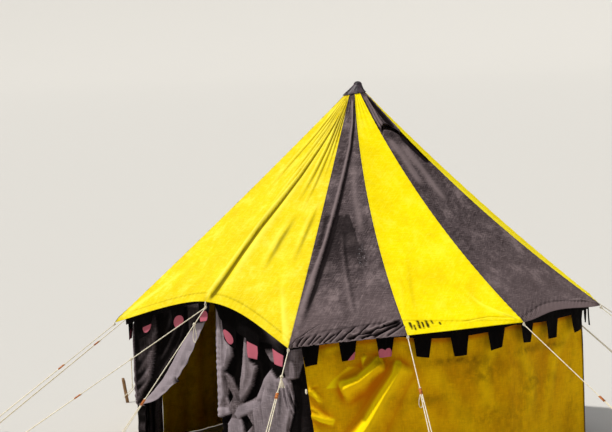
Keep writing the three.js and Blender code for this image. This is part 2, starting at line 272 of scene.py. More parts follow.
def on_wall(x, height, folds):
    """The same on a wall, with routes of places and heights."""
    total = 0
    for shape, route, *sizes in folds:
        total = total + shape(x, -height, [(p * WALL_WIDTH, -h) for p, h in route], *sizes)
    return total


def crumple(x, y, seed, size):
    """Sharp creases in many directions, about one size apart, between 0 and 1."""
    total = 0
    for number in range(6):
        angle = seed + 1.1 * number
        along = (x * math.cos(angle) + y * math.sin(angle)) / size
        bend = 0.9 * np.sin(1.7 * (x * math.sin(angle) - y * math.cos(angle)) / size + seed * number)
        total = total + (1 - np.abs(np.sin(math.pi * (0.6 + 0.17 * number) * along + bend))) ** 2 / 6
    return total


def waves(x, y, seed):
    """Broad soft waves in many directions."""
    total = 0
    for number in range(5):
        angle, stretch = 2.4 * number + seed, 1.7 + 1.9 * number
        phase = stretch * (x * math.cos(angle) + y * math.sin(angle)) + 1.3 * seed * number
        total = total + np.sin(phase) / (1 + number)
    return total


def smooth_step(value, low, high):
    along = np.clip((value - low) / (high - low), 0, 1)
    return along * along * (3 - 2 * along)


def band_line(place):
    """Where the hem band starts, as a share of the slope."""
    bay, along = in_bay(place)
    line = hem_line(place) - 0.034 * (0.35 + 0.65 * np.sin(np.pi * along) ** 0.6)
    line = np.where(bay == 1, 0.998 - 0.043 * np.minimum(along / 0.3, 1) ** 0.7 - 0.012 * along, line)
    line = np.where(bay == 2, 0.945 + 0.05 * along, line)
    return np.where((bay == 0) | (bay == BAYS - 1), hem_line(place) - 0.03, line)


# The folds of each panel
MAIN_CREASE = [
    (0.51, 0.06), (0.5, 0.1), (0.4, 0.15), (0.34, 0.2), (0.28, 0.252), (0.17, 0.37), (0.08, 0.48),
    (0.02, 0.58), (0.0, 0.72), (0.0, 0.87)]
MAIN_FOLDS = [
    (pleat, MAIN_CREASE, (0.011, 0.045), (0.009, 0.024), (0.02, 0.06)),
    (ridge, [(p + 0.11, s) for p, s in MAIN_CREASE[2:]], (0.015, 0.06), (0.004, 0.01), (0.1, 0.3)),
]
ENTRANCE_PLEATS = [
    (pleat, [(0.72, 0.055), (0.66, 0.1), (0.6, 0.14), (0.58, 0.21), (0.56, 0.26), (0.5, 0.35), (0.42, 0.5)],
     (0.009, 0.03), (0.007, 0.01), (0.03, 0.5)),
    (pleat, [(0.82, 0.055), (0.78, 0.13), (0.73, 0.2), (0.7, 0.28), (0.64, 0.4), (0.58, 0.52)],
     (0.007, 0.028), (0.005, 0.009), (0.03, 0.5)),
    (pleat, [(0.92, 0.055), (0.89, 0.12), (0.87, 0.2), (0.85, 0.3), (0.8, 0.42)],
     (0.006, 0.02), (0.005, 0.006), (0.03, 0.5)),
    (pleat, [(0.42, 0.06), (0.3, 0.15), (0.22, 0.22), (0.13, 0.31), (0.04, 0.42), (-0.04, 0.55)],
     (0.009, 0.035), (0.005, 0.009), (0.03, 0.4)),
    (pleat, [(0.28, 0.06), (0.14, 0.18), (0.02, 0.3), (-0.1, 0.45)],
     (0.009, 0.03), (0.004, 0.006), (0.03, 0.5)),
    (pleat, [(0.1, 0.06), (-0.05, 0.15), (-0.2, 0.3)], (0.01, 0.03), 0.004, (0.03, 0.5)),
    (pleat, [(-0.3, 0.06), (-0.4, 0.2), (-0.55, 0.45)], (0.012, 0.04), (0.004, 0.006), (0.03, 0.5)),
    (pleat, [(0.5, 0.5), (0.42, 0.62), (0.4, 0.76)], 0.05, 0.006, (0.4, 0.5)),
    (pleat, [(0.86, 0.45), (0.78, 0.6), (0.75, 0.72)], 0.04, 0.005, (0.4, 0.5)),
]
NEAR_CAP = {"more": 0.9, "from": 0.12, "to": 0.3}


def entrance_folds(place, share):
    """The entrance panel's folds: pleats gathered near the cap, and short ones that run from both corners."""
    gathered = 1 + NEAR_CAP["more"] * (1 - smooth_step(share, NEAR_CAP["from"], NEAR_CAP["to"]))
    short = []
    for corner in (-1, 1):
        for number in range(4):
            foot, head = corner * (0.985 - 0.012 * number), corner * (0.9 - 0.09 * number)
            route = [(foot, 0.985), (head, 0.86 - 0.05 * number)]
            short.append((ridge, route, (0.01, 0.04), 0.006, (0.05, 0.8)))
    return on_roof(place, share, MAIN_FOLDS + short) + gathered * on_roof(place, share, ENTRANCE_PLEATS)


GORE_1_FOLDS = [
    (pleat, [(1.72, 0.055), (1.76, 0.11), (1.74, 0.16), (1.6, 0.254), (1.43, 0.353), (1.315, 0.461),
             (1.2, 0.62), (1.115, 0.767), (1.06, 0.89), (1.03, 0.975)],
     (0.018, 0.056), (0.012, 0.019), (0.03, 0.3)),
    (pleat, [(1.93, 0.06), (1.95, 0.14), (1.97, 0.24)], 0.012, 0.008),
    (ridge, [(1.72, 0.3), (1.7, 0.45), (1.8, 0.6)], 0.05, 0.005),
    (pleat, [(1.42, 0.55), (1.47, 0.66), (1.52, 0.76), (1.56, 0.86), (1.6, 0.95)], 0.035, 0.0035, (0.4, 0.3)),
]
HEM_PLEATS = 17
HEM_SWEEPS = [
    [(1.46, 0.992), (1.68, 0.977), (1.86, 0.958), (1.985, 0.943)],
    [(1.6, 0.994), (1.8, 0.98), (1.93, 0.962), (1.99, 0.948)],
]


def gore_1_folds():
    """Slanting pleats along the hem, long sweeps into its right corner, and a fan from its left corner."""
    folds = list(GORE_1_FOLDS)
    for number in range(HEM_PLEATS):
        foot = 1.03 + 0.042 * number + 0.0005 * number**2 + 0.01 * math.sin(2.7 * number)
        head = foot + 0.035 + 0.013 * number
        top = 0.971 - 0.0018 * number - 0.009 * math.sin(3 * number)
        route = [(foot, 1.0), (0.5 * (foot + head) - 0.005, 0.5 * (1.0 + top) + 0.003), (head, top)]
        size = (0.013 + 0.016 * math.sin(1.9 * number) ** 2) * (1 - 0.035 * number)
        folds.append((pleat, route, 0.018, size, (0.12, 0.3)))
    for sweep in HEM_SWEEPS:
        lifted = [(p - 0.03, s - 0.006) for p, s in sweep]
        folds.append((ridge, sweep, (0.01, 0.013), -0.036, (0.2, 0.08)))
        folds.append((ridge, lifted, 0.014, 0.012, (0.2, 0.15)))
    for number in range(6):
        rise = 0.03 + 0.012 * number
        route = [(1.004, 0.999), (1.02 + 0.03 * number, 1 - 0.6 * rise), (1.04 + 0.055 * number, 1 - rise)]
        folds.append((pleat, route, 0.007, 0.009, (0.05, 0.5)))
    return folds


def gore_2_folds():
    """Faint long waves from the left corner, a fan from the right one, and a pleat along the hem."""
    folds = [(pleat, [(2.5, 0.975), (2.75, 0.968), (2.97, 0.985)], 0.014, 0.006)]
    for number in range(6):
        middle = 0.85 - 0.02 * number
        foot, head = (2.02 + 0.02 * number, 0.94), (2.13 + 0.05 * number, middle - 0.1)
        route = [foot, (2.09 + 0.035 * number, middle), head]
        folds.append((ridge, route, 0.036, 0.0045 * (-1) ** number, (0.3, 0.6)))
    for number in range(5):
        middle = (2.84 - 0.02 * number, 0.955 - 0.012 * number)
        route = [(2.98 - 0.006 * number, 0.99), middle, (2.7, 0.93 - 0.03 * number)]
        folds.append((ridge, route, (0.008, 0.03), 0.005, (0.1, 0.7)))
    return folds


GORE_3_FOLDS = [
    # between the cap and the vent, and the last two below the vent
    (ridge, [(3.05, 0.055), (3.06, 0.12), (3.05, 0.2)], (0.006, 0.014), -0.014, (0.05, 0.15)),
    (pleat, [(3.34, 0.055), (3.28, 0.11), (3.16, 0.19)], (0.007, 0.014), 0.013, (0.05, 0.15)),
    (ridge, [(3.42, 0.055), (3.36, 0.12), (3.22, 0.185)], (0.008, 0.02), 0.01, (0.05, 0.15)),
    (pleat, [(3.6, 0.055), (3.52, 0.11), (3.4, 0.17)], (0.008, 0.014), 0.012, (0.05, 0.15)),
    (ridge, [(3.84, 0.055), (3.84, 0.12), (3.82, 0.19)], (0.01, 0.032), -0.03, (0.05, 0.15)),
    (ridge, [(3.97, 0.055), (3.97, 0.12), (3.97, 0.2)], (0.006, 0.012), 0.01, (0.05, 0.15)),
    (ridge, [(3.9, 0.2), (3.93, 0.26), (3.95, 0.34)], (0.05, 0.03), -0.035, (0.05, 0.15)),
    (ridge, [(3.2, 0.22), (3.3, 0.3), (3.25, 0.42)], 0.05, 0.012),
    (ridge, [(3.55, 0.24), (3.6, 0.34), (3.5, 0.5)], 0.05, 0.008),
]


def gore_3_folds():
    """Small pleats at the left of the hem and a fan from its right corner."""
    folds = list(GORE_3_FOLDS)
    for number in range(11):
        foot = (3.02 + 0.022 * number, 0.999 - 0.0012 * number)
        head = (3.03 + 0.027 * number, 0.966 - 0.001 * number)
        folds.append((pleat, [foot, head], 0.008, 0.006, (0.05, 0.4)))
    for number in range(4):
        route = [(3.99, 0.992), (3.9 - 0.03 * number, 0.966 - 0.004 * number), (3.7 - 0.04 * number, 0.957)]
        folds.append((ridge, route, 0.008, 0.005, (0.05, 0.6)))
    return folds


def hidden_folds(bay):
    """Soft folds of a gore at the back or side: one from the peak to the hem, and one at each hem corner."""
    lean = 0.25 + 0.5 * ((bay * 0.37) % 1)
    route = [(bay + lean, 0.07), (bay + 0.5, 0.5), (bay + 1 - lean, 0.9)]
    folds = [(pleat, route, (0.015, 0.06), (0.006, 0.014), (0.05, 0.4))]
    for corner, spread in ((bay, 1), (bay + 1, -1)):
        short = [(corner + 0.01 * spread, 0.99), (corner + 0.2 * spread, 0.9)]
        folds.append((ridge, short, (0.01, 0.04), 0.007, (0.05, 0.8)))
    return folds


GORE_FOLDS = {1: gore_1_folds(), 2: gore_2_folds(), 3: gore_3_folds()}
GORE_FOLDS.update({bay: hidden_folds(bay) for bay in range(4, 11)})


def vent_edges(place):
    """The slit's upper edge, its lower lip, and how open it is, 0 at its ends to 1."""
    along = np.clip((place - VENT["bay"] - VENT["left"]) / (VENT["right"] - VENT["left"]), 0, 1)
    upper = VENT["foot"] - VENT["rise"] * np.sin(np.pi * along**0.9) ** 0.75
    lower = VENT["foot"] - VENT["lip"] * np.sin(np.pi * along**0.72) ** 1.3
    return upper, np.maximum(lower, upper), np.sin(np.pi * along)


SLACK = {"belly": 0.016, "waves": 0.0035, "held": 0.12, "turned_in": 0.014}
SEAM_PUCKERS = {"height": 0.0016, "reach": 0.035, "length": 0.085}
CAP_GATHERS = {"height": 0.005, "reach": 0.06, "in_bay": 4}
BAND_SEAM = {"depth": 0.003, "width": 0.01}
BAND_PUCKERS = {"height": 0.0028, "reach": 0.07, "length": 0.072, "on_yellow": 0.3}


def slack(place, share):
    """How the cloth sags and waves between its seams, and how the hem band turns in."""
    along = in_bay(place)[1]
    x, y = across(place, share), share * SLOPE_LENGTH
    belly = SLACK["belly"] * 4 * along * (1 - along) * np.sin(np.pi * np.clip(share, 0, 1))
    free = np.minimum(share * 4, 1) * (1 - np.exp(-seam_distance(place, share) / SLACK["held"]))
    start, end = band_line(place), hem_line(place)
    band = SLACK["turned_in"] * np.clip((share - start) / (end - start), 0, 1.2) ** 1.5
    return SLACK["waves"] * waves(x, y, 1.0) * free - belly - band


def from_band(place, share):
    """The way down the cloth from the hem band's seam."""
    return (share - band_line(place)) * SLOPE_LENGTH


def puckers(place, share):
    """The small gathers along the seams, under the cap and beside the hem band's seam."""
    bay, along = in_bay(place)
    x, y = across(place, share), share * SLOPE_LENGTH
    by_seam = SEAM_PUCKERS["height"] * np.exp(-seam_distance(place, share) / SEAM_PUCKERS["reach"])
    by_seam = by_seam * np.sin(2 * np.pi * y / SEAM_PUCKERS["length"] + 2 * np.sin(3 * y))
    by_cap = CAP_GATHERS["height"] * np.exp(-(share - RIM) / CAP_GATHERS["reach"])
    by_cap = by_cap * np.sin(2 * np.pi * (CAP_GATHERS["in_bay"] * along + 0.3 * np.sin(bay)))
    below = from_band(place, share)
    phase = 2 * np.pi * x / BAND_PUCKERS["length"] + 3 * np.sin(1.9 * x) + 2 * np.sin(4.7 * x)
    by_band = BAND_PUCKERS["height"] * np.sin(phase) * bell(below, BAND_PUCKERS["reach"])
    by_band = by_band * (0.4 + 0.6 * np.sin(3.1 * x) ** 2)
    black = (bay % 2 == 1) & (bay != BAYS - 1)
    by_band = by_band * np.where(black, 1, BAND_PUCKERS["on_yellow"])
    return by_seam + by_cap + by_band - BAND_SEAM["depth"] * bell(below, BAND_SEAM["width"])


def creases(place, share):
    """Every fold, pucker and gather of the roof, as its height above the slack cloth."""
    bay = in_bay(place)[0]
    rise = puckers(place, share)
    rise = rise + np.where((bay == 0) | (bay == BAYS - 1), entrance_folds(signed(place), share), 0)
    for number, folds in GORE_FOLDS.items():
        if (bay == number).any():
            rise = rise + np.where(bay == number, on_roof(place, share, folds), 0)
    return rise


def relief(place, share):
    """How far the cloth stands out from the straight surface between the seams."""
    return np.where(share < RIM, 0, slack(place, share) + creases(place, share))


def seam_distance(place, share):
    """The way to the nearest seam. The entrance panel has none in its middle."""
    bay, along = in_bay(place)
    middle = (bay == 0) & (along < 0.5) | (bay == BAYS - 1) & (along > 0.5)
    return np.where(middle, 9, np.minimum(along, 1 - along) * GORE_WIDTH * share)


def signed(place):
    """The place counted from the entrance, negative on its left."""
    return place - BAYS * np.round(place / BAYS)


def roof_cloth(place, share):
    return roof_point(place, share) + off_slope(place * BAY_TURN) * relief(place, share)[..., None]


# Meshes from grids of points
def grid_faces(rows, columns):
    index = np.arange(rows * columns).reshape(rows, columns)
    quads = [index[:-1, :-1], index[1:, :-1], index[1:, 1:], index[:-1, 1:]]
    return np.stack(quads, -1).reshape(-1, 4)


def ring_faces(rings, sides, downward=False, closed=True):
    """Faces between rings of points that go up, or down, with a face over each end where closed."""
    first, k = np.arange(rings - 1)[:, None] * sides, np.arange(sides)
    after = (k + 1) % sides
    corners = [first + k, first + after, first + sides + after, first + sides + k]
    if downward:
        corners = [corners[0], *corners[:0:-1]]
    faces = [tuple(face) for face in np.stack(corners, -1).reshape(-1, 4)]
    ends = [tuple(reversed(range(sides))), tuple((rings - 1) * sides + k)]
    return faces + ends if closed else faces


def around(sides):
    return np.arange(sides) * 2 * math.pi / sides


def in_scene(name, data):
    made = bpy.data.objects.new(name, data)
    bpy.context.scene.collection.objects.link(made)
    return made


def mesh_object(mesh, material):
    mesh.polygons.foreach_set("use_smooth", [True] * len(mesh.polygons))
    mesh.materials.append(material)
    return in_scene(mesh.name, mesh)


def mesh_piece(name, points, faces, material, vectors=None, numbers=None):
    mesh = bpy.data.meshes.new(name)
    mesh.from_pydata([tuple(p) for p in points], [], [tuple(f) for f in faces])
    for given, kind, field in ((vectors, "FLOAT_VECTOR", "vector"), (numbers, "FLOAT", "value")):
        for key, values in (given or {}).items():
            layer = mesh.attributes.new(key, kind, "POINT")
            layer.data.foreach_set(field, np.asarray(values, np.float32).ravel())
    mesh.update()
    return mesh_object(mesh, material)


def blurred(grid, cells):
    """A grid smoothed along both its ways, each by its own number of cells."""
    for axis, reach in enumerate(cells):
        weights = np.exp(-((np.arange(-2 * reach, 2 * reach + 1) / reach) ** 2))
        weights /= weights.sum()
        spread = [(0, 0), (0, 0)]
        spread[axis] = (2 * reach, 2 * reach)
        padded = np.pad(grid, spread, mode="edge")
        grid = sum(w * np.take(padded, range(k, k + grid.shape[axis]), axis) for k, w in enumerate(weights))
    return grid


def hollows(heights, cells, depth):
    """How much deeper each point lies than its neighbourhood, in depths, negative on a crest."""
    return np.clip((blurred(heights, cells) - heights) / depth, -1, 1)


def thicken(piece, thickness=CANVAS, offset=-1):
    solidify = piece.modifiers.new("thickness", "SOLIDIFY")
    solidify.thickness = thickness
    solidify.offset = offset


def weld(piece, distance=1e-5):
    edit = bmesh.new()
    edit.from_mesh(piece.data)
    loose = [v for v in edit.verts if not v.link_faces]
    bmesh.ops.delete(edit, geom=loose, context="VERTS")
    bmesh.ops.remove_doubles(edit, verts=edit.verts, dist=distance)
    edit.to_mesh(piece.data)
    edit.free()


def dress(piece, node):
    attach(piece, "root")
    if node:
        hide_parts(node)
    return piece


# Materials
def connect(tree, socket, value):
    if isinstance(value, bpy.types.NodeSocket):
        tree.links.new(value, socket)
    else:
        socket.default_value = value


def add(tree, kind, inputs=None, **settings):
    made = tree.nodes.new(kind)
    for key, value in settings.items():
        setattr(made, key, value)
    for key, value in (inputs or {}).items():
        connect(tree, made.inputs[key], value)
    return made


def maths(tree, operation, first, second=0.0, clamp=False):
    made = add(tree, "ShaderNodeMath", {0: first, 1: second}, operation=operation, use_clamp=clamp)
    return made.outputs[0]


def mixed(tree, factor, first, second):
    made = add(tree, "ShaderNodeMix", data_type="RGBA")
    for key, value in ((0, factor), (6, first), (7, second)):
        connect(tree, made.inputs[key], value)
    return made.outputs[2]


def ranged(tree, value, low, high, to_low=0.0, to_high=1.0):
    keys = ("Value", "From Min", "From Max", "To Min", "To Max")
    made = add(tree, "ShaderNodeMapRange", dict(zip(keys, (value, low, high, to_low, to_high))))
    return made.outputs[0]


def noise(tree, vector, scale, detail, roughness=0.55):
    inputs = {"Vector": vector, "Scale": scale, "Detail": detail, "Roughness": roughness}
    return add(tree, "ShaderNodeTexNoise", inputs).outputs["Fac"]


def scaled(tree, vector, factors):
    made = add(tree, "ShaderNodeVectorMath", {0: vector, 1: factors}, operation="MULTIPLY")
    return made.outputs[0]


def colour(red, green, blue):
    """A colour from its screen values, 0 to 255, as the shader's linear one."""
    def linear(value):
        value /= 255
        return value / 12.92 if value <= 0.04045 else ((value + 0.055) / 1.055) ** 2.4

    return (linear(red), linear(green), linear(blue), 1.0)


def start_material(name, roughness, sheen=0.0, specular=0.3):
    material = bpy.data.materials.new(name)
    material.use_nodes = True
    tree = material.node_tree
    shader = tree.nodes["Principled BSDF"]
    for key, value in (("Roughness", roughness), ("Specular IOR Level", specular), ("Sheen Weight", sheen)):
        shader.inputs[key].default_value = value
    return material, tree, shader


def object_place(tree):
    return add(tree, "ShaderNodeTexCoord").outputs["Object"]


def attribute(tree, name, output="Vector"):
    return add(tree, "ShaderNodeAttribute", attribute_name=name).outputs[output]


def parts_of(tree, vector):
    return add(tree, "ShaderNodeSeparateXYZ", {0: vector}).outputs


def bump(tree, height, strength, distance, under=None):
    inputs = {"Height": height, "Strength": strength, "Distance": distance}
    if under is not None:
        inputs["Normal"] = under
    return add(tree, "ShaderNodeBump", inputs).outputs[0]


THREAD_PAIR = 0.0024
STITCH = 0.008
STITCH_ROWS = (0.006, 0.018)
STITCH_HALF = 0.0014


def waving(tree, value, length):
    return maths(tree, "SINE", maths(tree, "MULTIPLY", value, 2 * math.pi / length))


def weave_height(tree, cloth):
    """Threads over and under, a pair every two thread widths."""
    parts = parts_of(tree, cloth)
    return maths(tree, "MULTIPLY", waving(tree, parts[0], THREAD_PAIR), waving(tree, parts[1], THREAD_PAIR))


def stitch_mask(tree, cloth):
    """Two rows of stitches beside each seam; the cloth attribute's third part is the way to the seam."""
    parts = parts_of(tree, cloth)
    rows = []
    for row in STITCH_ROWS:
        rows.append(maths(tree, "COMPARE", parts[2], row))
        rows[-1].node.inputs[2].default_value = STITCH_HALF
    dashes = maths(tree, "GREATER_THAN", waving(tree, parts[1], STITCH), -0.2)
    return maths(tree, "MULTIPLY", maths(tree, "MAXIMUM", *rows), dashes)


def layered_tone(tree, tone, layers):
    """Paint over a tone. A layer is a mask, the values where it starts and is full, its share, its paint."""
    for mask, start, full, most, paint in layers:
        tone = mixed(tree, ranged(tree, mask, start, full, 0, most), tone, paint)
    return tone


def canvas(name, base, deep, worn, stain, hollow, crest, grime_and_shade, seam, cloud=0.4, crease_shade_share=0.8,
           crest_highlight_share=0.5, mottle=0.05, band=None, band_share=0.75, rose=None, fleck=None, crinkle=0.006):
    """Woven cloth. Its hollows get painted shade and its crests a painted highlight, by the attribute named
    hollow.
    """
    material, tree, shader = start_material(name, 0.86, specular=0.05)
    base, deep, worn, stain, hollow, crest, grime_and_shade, seam = (
        colour(*paint) for paint in (base, deep, worn, stain, hollow, crest, grime_and_shade, seam))
    place, cloth, sunk = object_place(tree), attribute(tree, "cloth"), attribute(tree, "hollow", "Fac")
    stained, banded, rosy = parts_of(tree, attribute(tree, "marks"))
    streaks = noise(tree, scaled(tree, cloth, (9.0, 0.9, 0.0)), 1.0, 5, 0.65)
    cloudy = noise(tree, scaled(tree, place, (1.0, 1.0, 0.6)), 4.2, 6, 0.7)
    layers = [
        (noise(tree, place, 1.7, 4), 0.35, 0.68, 1, deep),
        (streaks, 0.55, 0.8, 0.55, worn),
        (noise(tree, place, 38, 3), 0.3, 0.7, 0.35, deep),
        (cloudy, 0.52, 0.66, cloud, crest),
        (cloudy, 0.49, 0.36, cloud, grime_and_shade)]
    for threads in ((75.0, 8.0, 0.0), (8.0, 75.0, 0.0)):
        grain = noise(tree, scaled(tree, cloth, threads), 1.0, 4, 0.68)
        layers += [(grain, 0.53, 0.7, cloud, crest), (grain, 0.47, 0.3, cloud, grime_and_shade)]
    layers.append((noise(tree, place, 3.3, 6, 0.68), 0.5, 0.72, mottle, stain))
    tone = layered_tone(tree, base, layers)
    # The band colour over the marks' second part: painted sunlight and highlights on walls, curtains and
    # valance, and the black roof's paler parts
    if band:
        tone = mixed(tree, maths(tree, "MULTIPLY", banded, band_share), tone, colour(*band))
    # Painted shade in the hollows of the folds, and a painted highlight on their crests
    tone = layered_tone(tree, tone, [(sunk, 0, 1, crease_shade_share, hollow), (sunk, 0, -1, crest_highlight_share, crest)])
    broken = ranged(tree, noise(tree, place, 11, 5, 0.7), 0.3, 0.62)
    tone = mixed(tree, maths(tree, "MULTIPLY", stained, broken, clamp=True), tone, stain)
    if fleck:
        specks = ranged(tree, noise(tree, scaled(tree, cloth, (1.0, 1.5, 0.0)), 48, 2, 0.5), 0.64, 0.7)
        damp = ranged(tree, stained, 0.35, 0.8)
        tone = mixed(tree, maths(tree, "MULTIPLY", specks, damp), tone, colour(*fleck))
    if rose:
        tone = mixed(tree, ranged(tree, rosy, 0.45, 0.55), tone, colour(*rose))
    stitches = stitch_mask(tree, cloth)
    tone = mixed(tree, maths(tree, "MULTIPLY", stitches, 0.5), tone, seam)
    rough = ranged(tree, noise(tree, place, 24, 2), 0.3, 0.7, 0.8, 0.95)
    return finished(material, tree, shader, tone, sewn_surface(tree, place, cloth, stitches, crinkle), rough)


def sewn_surface(tree, place, cloth, stitches, crinkle):
    """Small creases, the weave on them, and the stitches sunk into it."""
    creased = bump(tree, noise(tree, place, 16, 5, 0.6), 0.35, crinkle)
    woven = bump(tree, weave_height(tree, cloth), 0.35, 0.0006, creased)
    return bump(tree, maths(tree, "MULTIPLY", stitches, -1), 0.6, 0.0015, woven)


def finished(material, tree, shader, tone, normal, rough=None):
    connect(tree, shader.inputs["Base Color"], tone)
    connect(tree, shader.inputs["Normal"], normal)
    if rough is not None:
        connect(tree, shader.inputs["Roughness"], rough)
    return material


def leather():
    material, tree, shader = start_material("cap leather", 0.42, specular=0.32)
    place = object_place(tree)
    worn = ranged(tree, noise(tree, place, 14, 5), 0.45, 0.75)
    tone = mixed(tree, worn, colour(36, 26, 33), colour(92, 76, 86))
    grain = add(tree, "ShaderNodeTexVoronoi", {"Vector": place, "Scale": 260.0}).outputs["Distance"]
    wrinkles = bump(tree, noise(tree, place, 24, 5), 0.6, 0.008)
    normal = bump(tree, grain, 0.25, 0.0008, wrinkles)
    return finished(material, tree, shader, tone, normal, ranged(tree, worn, 0, 1, 0.36, 0.58))


def wood(name, light, dark, along=2):
    """Wood with its grain along one axis of the object."""
    material, tree, shader = start_material(name, 0.62)
    place = object_place(tree)
    stretch = [60.0, 60.0, 60.0]
    stretch[along] = 3.0
    grain = noise(tree, scaled(tree, place, tuple(stretch)), 1.0, 5, 0.6)
    dark = colour(*dark)
    layers = [(grain, 0.35, 0.65, 1, dark), (noise(tree, place, 6, 4), 0.45, 0.75, 0.5, dark)]
    tone = layered_tone(tree, colour(*light), layers)
    return finished(material, tree, shader, tone, bump(tree, grain, 0.5, 0.002))


def rope(name, light, dark):
    material, tree, shader = start_material(name, 0.9, sheen=0.2, specular=0.2)
    place = object_place(tree)
    strand = parts_of(tree, attribute(tree, "cloth"))[0]
    tone = layered_tone(tree, colour(*light), [(noise(tree, place, 45, 3), 0.4, 0.7, 1, colour(*dark))])
    # Darker in the grooves between the strands: painted shade
    tone = mixed(tree, maths(tree, "MULTIPLY", strand, 0.8), tone, colour(*dark))
    return finished(material, tree, shader, tone, bump(tree, noise(tree, place, 900, 2), 0.4, 0.001))


# Colours are screen values, 0 to 255
# On every canvas the hollow colour is painted shade in the hollows of folds, and the crest colour both a
# random paler tone and a painted highlight on fold crests
yellow_canvas = canvas(
    "yellow canvas", base=(255, 236, 0), deep=(250, 222, 0), worn=(255, 240, 16), stain=(60, 52, 10),
    hollow=(170, 146, 0), crest=(255, 250, 70), grime_and_shade=(232, 202, 0), seam=(206, 174, 4))
entrance_canvas = canvas(
    "entrance canvas", base=(230, 208, 22), deep=(220, 194, 16), worn=(234, 216, 44), stain=(84, 74, 22),
    hollow=(100, 84, 0), crest=(250, 238, 96), grime_and_shade=(206, 180, 14), seam=(204, 176, 20), crease_shade_share=0.9,
    crest_highlight_share=0.55)
# A darker, more orange copy of the roof's yellow canvas: painted shade under the roof. Its band colour is
# painted sunlight on the bulging folds, and its hollow colour painted shade, also just under the valance
yellow_wall_canvas = canvas(
    "yellow wall canvas", base=(230, 180, 4), deep=(218, 162, 0), worn=(232, 188, 8), stain=(116, 82, 4),
    hollow=(190, 100, 0), crest=(250, 208, 8), grime_and_shade=(178, 126, 2), seam=(150, 110, 8), band=(255, 230, 6),
    band_share=1.0, cloud=0.35, crest_highlight_share=0.6, mottle=0.4)
# Its band colour makes the lower parts of gores 1 and 3 paler, and the hem bands, where the paler tone is
# painted light
black_canvas = canvas(
    "black canvas", base=(84, 73, 75), deep=(66, 57, 59), worn=(104, 91, 92), stain=(32, 26, 27),
    hollow=(16, 11, 12), crest=(130, 115, 116), grime_and_shade=(46, 38, 39), seam=(34, 28, 30), band=(118, 102, 103),
    cloud=0.8, crease_shade_share=0.95, crest_highlight_share=0.75, mottle=0.35, fleck=(176, 172, 178))
# Its near-black hollow colour is painted shade, and its band colour a painted highlight, laid on by the folds
# and the curtains' patches
curtain_canvas = canvas(
    "curtain canvas", base=(104, 92, 94), deep=(84, 74, 76), worn=(128, 116, 121), stain=(44, 36, 34),
    hollow=(8, 5, 5), crest=(164, 151, 157), grime_and_shade=(54, 46, 46), seam=(60, 52, 56), band=(196, 184, 194),
    cloud=0.5, crease_shade_share=1.0, mottle=0.25, crinkle=0.016)
# Near-black all over: painted shade from the roof's hem. Its band colour is painted sunlight on a spot of the
# band, and its rose colour goes on the ends of some tabs
valance_canvas = canvas(
    "valance canvas", base=(7, 4, 5), deep=(5, 3, 3), worn=(12, 8, 9), stain=(5, 3, 4), hollow=(3, 2, 2),
    crest=(16, 12, 13), grime_and_shade=(5, 3, 3), seam=(5, 3, 4), band=(128, 116, 120), rose=(190, 100, 116),
    crease_shade_share=0.3, crest_highlight_share=0.3, mottle=0.2)
cap_leather = leather()
pole_wood = wood("pole wood", (186, 134, 76), (132, 84, 40))
stake_wood = wood("stake wood", (150, 116, 78), (96, 68, 42))
slide_wood = wood("slide wood", (206, 126, 58), (146, 76, 30), along=0)
toggle_wood = wood("toggle wood", (255, 250, 236), (220, 208, 184))
hemp = rope("hemp rope", (252, 247, 232), (206, 192, 160))


# Roof panels
HOLLOW_DEPTH = 0.008


def cloth_marks(place, share):
    """Attributes of the roof's cloth: the place on the cloth, its stains, its band and its hollows."""
    x, y = across(place, share), share * SLOPE_LENGTH
    to_stitches = np.minimum(seam_distance(place, share), np.abs(from_band(place, share)) + 0.004)
    stain = roof_stains(place, share)
    vectors = {"cloth": [x, y, to_stitches], "marks": [stain, roof_paler_paint(place, share), 0 * x]}
    vectors = {key: np.stack(parts, -1).reshape(-1, 3) for key, parts in vectors.items()}
    # The hollow attribute, which the canvas turns into painted shade in the creases and a painted highlight
    # on their crests, with gore 1's darker patch added
    sunk = np.clip(-creases(place, share) / HOLLOW_DEPTH + darker_patch(place, share), -1, 1)
    return vectors, {"hollow": (sunk * smooth_step(share, RIM, 1.4 * RIM)).ravel()}


def stroke(place, share, spot, top, foot, width):
    """A dark upright stroke on the cloth, such as mildew leaves along a fold."""
    soft = 0.006
    upright = smooth_step(share, top, top + soft) * (1 - smooth_step(share, foot - soft, foot))
    return bell(place * GORE_WIDTH, width, spot * GORE_WIDTH) * upright


MILDEW = [
    # place, top share, foot share and width of each dark stroke at gore 2's lower left corner
    (2.055, 0.952, 0.984, 0.017), (2.085, 0.962, 0.988, 0.012), (2.125, 0.948, 0.984, 0.017),
    (2.16, 0.955, 0.986, 0.012), (2.2, 0.95, 0.984, 0.017), (2.245, 0.952, 0.972, 0.013),
    (2.31, 0.962, 0.978, 0.012)]
MILDEW_STRENGTH = 2.2
DAMP_SPOTS = [
    # share of the bay, half width, share of the slope, half height and strength on gore 1
    (0.74, 0.1, 0.68, 0.06, 0.95), (0.84, 0.07, 0.56, 0.025, 0.665)]


def darker_patch(place, share):
    """A darker patch on gore 1 with a sharp upper edge, as its tone."""
    bay, along = in_bay(place)
    top = 0.515 + 0.004 * np.sin(31 * along) + 0.05 * smooth_step(along, 0.55, 0.66)
    edge = 0.66 + 0.3 * (share - 0.52) + 0.02 * np.sin(40 * share)
    patch = smooth_step(share, top, top + 0.005) * (1 - smooth_step(share, 0.58, 0.8))
    patch = patch * (1 - smooth_step(along, edge, edge + 0.025)) * smooth_step(along, 0.02, 0.1)
    return np.where(bay == 1, 0.8 * patch, 0)


